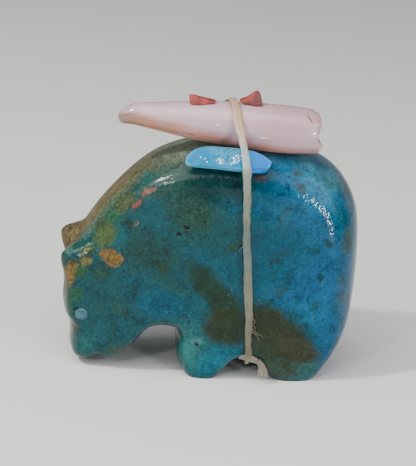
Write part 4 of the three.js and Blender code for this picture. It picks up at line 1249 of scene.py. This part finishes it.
# knot, tail and stray fibres, each a line of places in the figure in mm; widths and thicknesses go from
# start to end
knot = {
    "threadShift": 5,
    "lines": [
        ([(4.95, -7.4, 3.6), (5.5, -7.8, 3.85), (6.12, -7.95, 3.86), (6.74, -7.95, 3.72), (7.25, -7.85, 3.48),
          (7.62, -7.75, 3.15)], (0.5, 0.75, 1, 1.05, 0.85, 0.6), (0.26, 0.34, 0.42, 0.45, 0.4, 0.3)),
        ([(6.2, -8.45, 5.8), (6.3, -8.42, 5.1), (6.33, -8.3, 4.55), (6.4, -8.1, 3.95)],
         (0.5, 0.7, 0.75, 0.5), (0.3, 0.36, 0.36, 0.26)),
    ],
    # each pair is the first and the last of the tail's threads
    "tailStart": [(7.3, -7.8, 3.35), (7.8, -7.9, 3.72)],
    "tailBend": [(7.78, -8.1, 2.5), (8.6, -8.1, 2.85)],
    "tailEnds": [(7.76, -8.2, 1.24), (9.1, -8.1, 1.16)],
    "tailFibres": 12,
    "tailShape": ((0.13, 0.13, 0.14, 0.12), (0.15, 0.17, 0.15, 0.12), 10, 36),
    "fibres": [
        [(6.3, -8.95, 8.8), (6.59, -9.15, 8.53), (6.9, -9.2, 8.25), (7.31, -9.15, 7.94), (7.98, -9, 7.5)],
        [(6.25, -8.95, 8.45), (6.49, -9.1, 8.14), (7.03, -9.2, 7.8), (7.47, -9.05, 6.94)],
        [(6.35, -8.9, 10.1), (6.66, -9.1, 9.9), (6.62, -9.15, 9.5), (6.35, -9.05, 9.35)],
        [(6.3, -8.9, 9.2), (6.75, -9.1, 8.95), (6.85, -9.1, 8.6)],
        [(4.5, -8.9, 20.6), (4.05, -9, 20.2), (3.9, -8.9, 19.7)],
    ],
    "fibreShape": ((0.14, 0.1, 0.07), (0.12, 0.09, 0.06), 8, 30),
}


# An open bundle closed at both ends by poles; its widths and thicknesses are spread over its length, and
# its phase also moves it to its own place in the noise of its threads
def strand(name, line, widths, thicknesses, around, count, ridges=3, phase=0.0):
    path = openLine(line, count)
    width, thick = (np.interp(np.linspace(0, 1, count), np.linspace(0, 1, len(values)), values)
                    for values in (widths, thicknesses))
    ups = np.tile((0.0, -1.0, 0.0), (count, 1))
    run = unit(np.gradient(path, axis=0))
    rings, along, angles = bundle(path, run, ups, width, thick, around, sinew["twist"], ridges, phase)
    along = np.append(along.ravel(), [along[0, 0], along[-1, 0]]) + knot["threadShift"] * phase
    points = np.vstack([rings, path[:1], path[-1:]])
    data = {"along": along, "round": np.append(angles.ravel(), [0, 0])}
    makePiece(name, points, ringFaces(count, around), sinewLook, (), data)


for number, (line, widths, thicknesses) in enumerate(knot["lines"]):
    strand("sinewKnot%d" % (number + 1), line, widths, thicknesses, 24, 80, 7, number)
for number in range(knot["tailFibres"]):
    # each thread of the tail lies between the first and the last, shaken by a few sines of its number
    share = number / (knot["tailFibres"] - 1)
    start, bend, end = (np.array(knot[key][0]) * (1 - share) + np.array(knot[key][1]) * share
                        for key in ("tailStart", "tailBend", "tailEnds"))
    wave = np.array([0.05 * math.sin(2.1 * number), 0.09 * math.cos(2.6 * number), 0])
    fray = np.array([0.05 * math.sin(5 * number), 0.1 * math.cos(2.6 * number),
                     0.16 * math.sin(3.7 * number) - 0.06])
    middle = (bend + end + fray) / 2 + (0.1 * (share - 0.3), -0.04, 0) - wave
    line = [start + wave, bend + wave, middle, end + fray]
    strand("sinewTail%d" % (number + 1), line, *knot["tailShape"], phase=1.7 * number)
for number, line in enumerate(knot["fibres"]):
    strand("sinewFibre%d" % (number + 1), line, *knot["fibreShape"])
print("sinew done")


# A plain pale floor at z = 0
def makeGround():
    make = Maker("ground")
    make.put(make.shader, "Base Color", (*studio["ground"], 1))
    make.put(make.shader, "Roughness", studio["groundRoughness"])
    half = studio["groundHalf"] * mm
    mesh = bpy.data.meshes.new("ground")
    corners = [(-half, -half, 0), (half, -half, 0), (half, half, 0), (-half, half, 0)]
    mesh.from_pydata(corners, [], [(0, 1, 2, 3)])
    mesh.materials.append(make.material)
    ground = bpy.data.objects.new("ground", mesh)
    bpy.context.scene.collection.objects.link(ground)


makeGround()
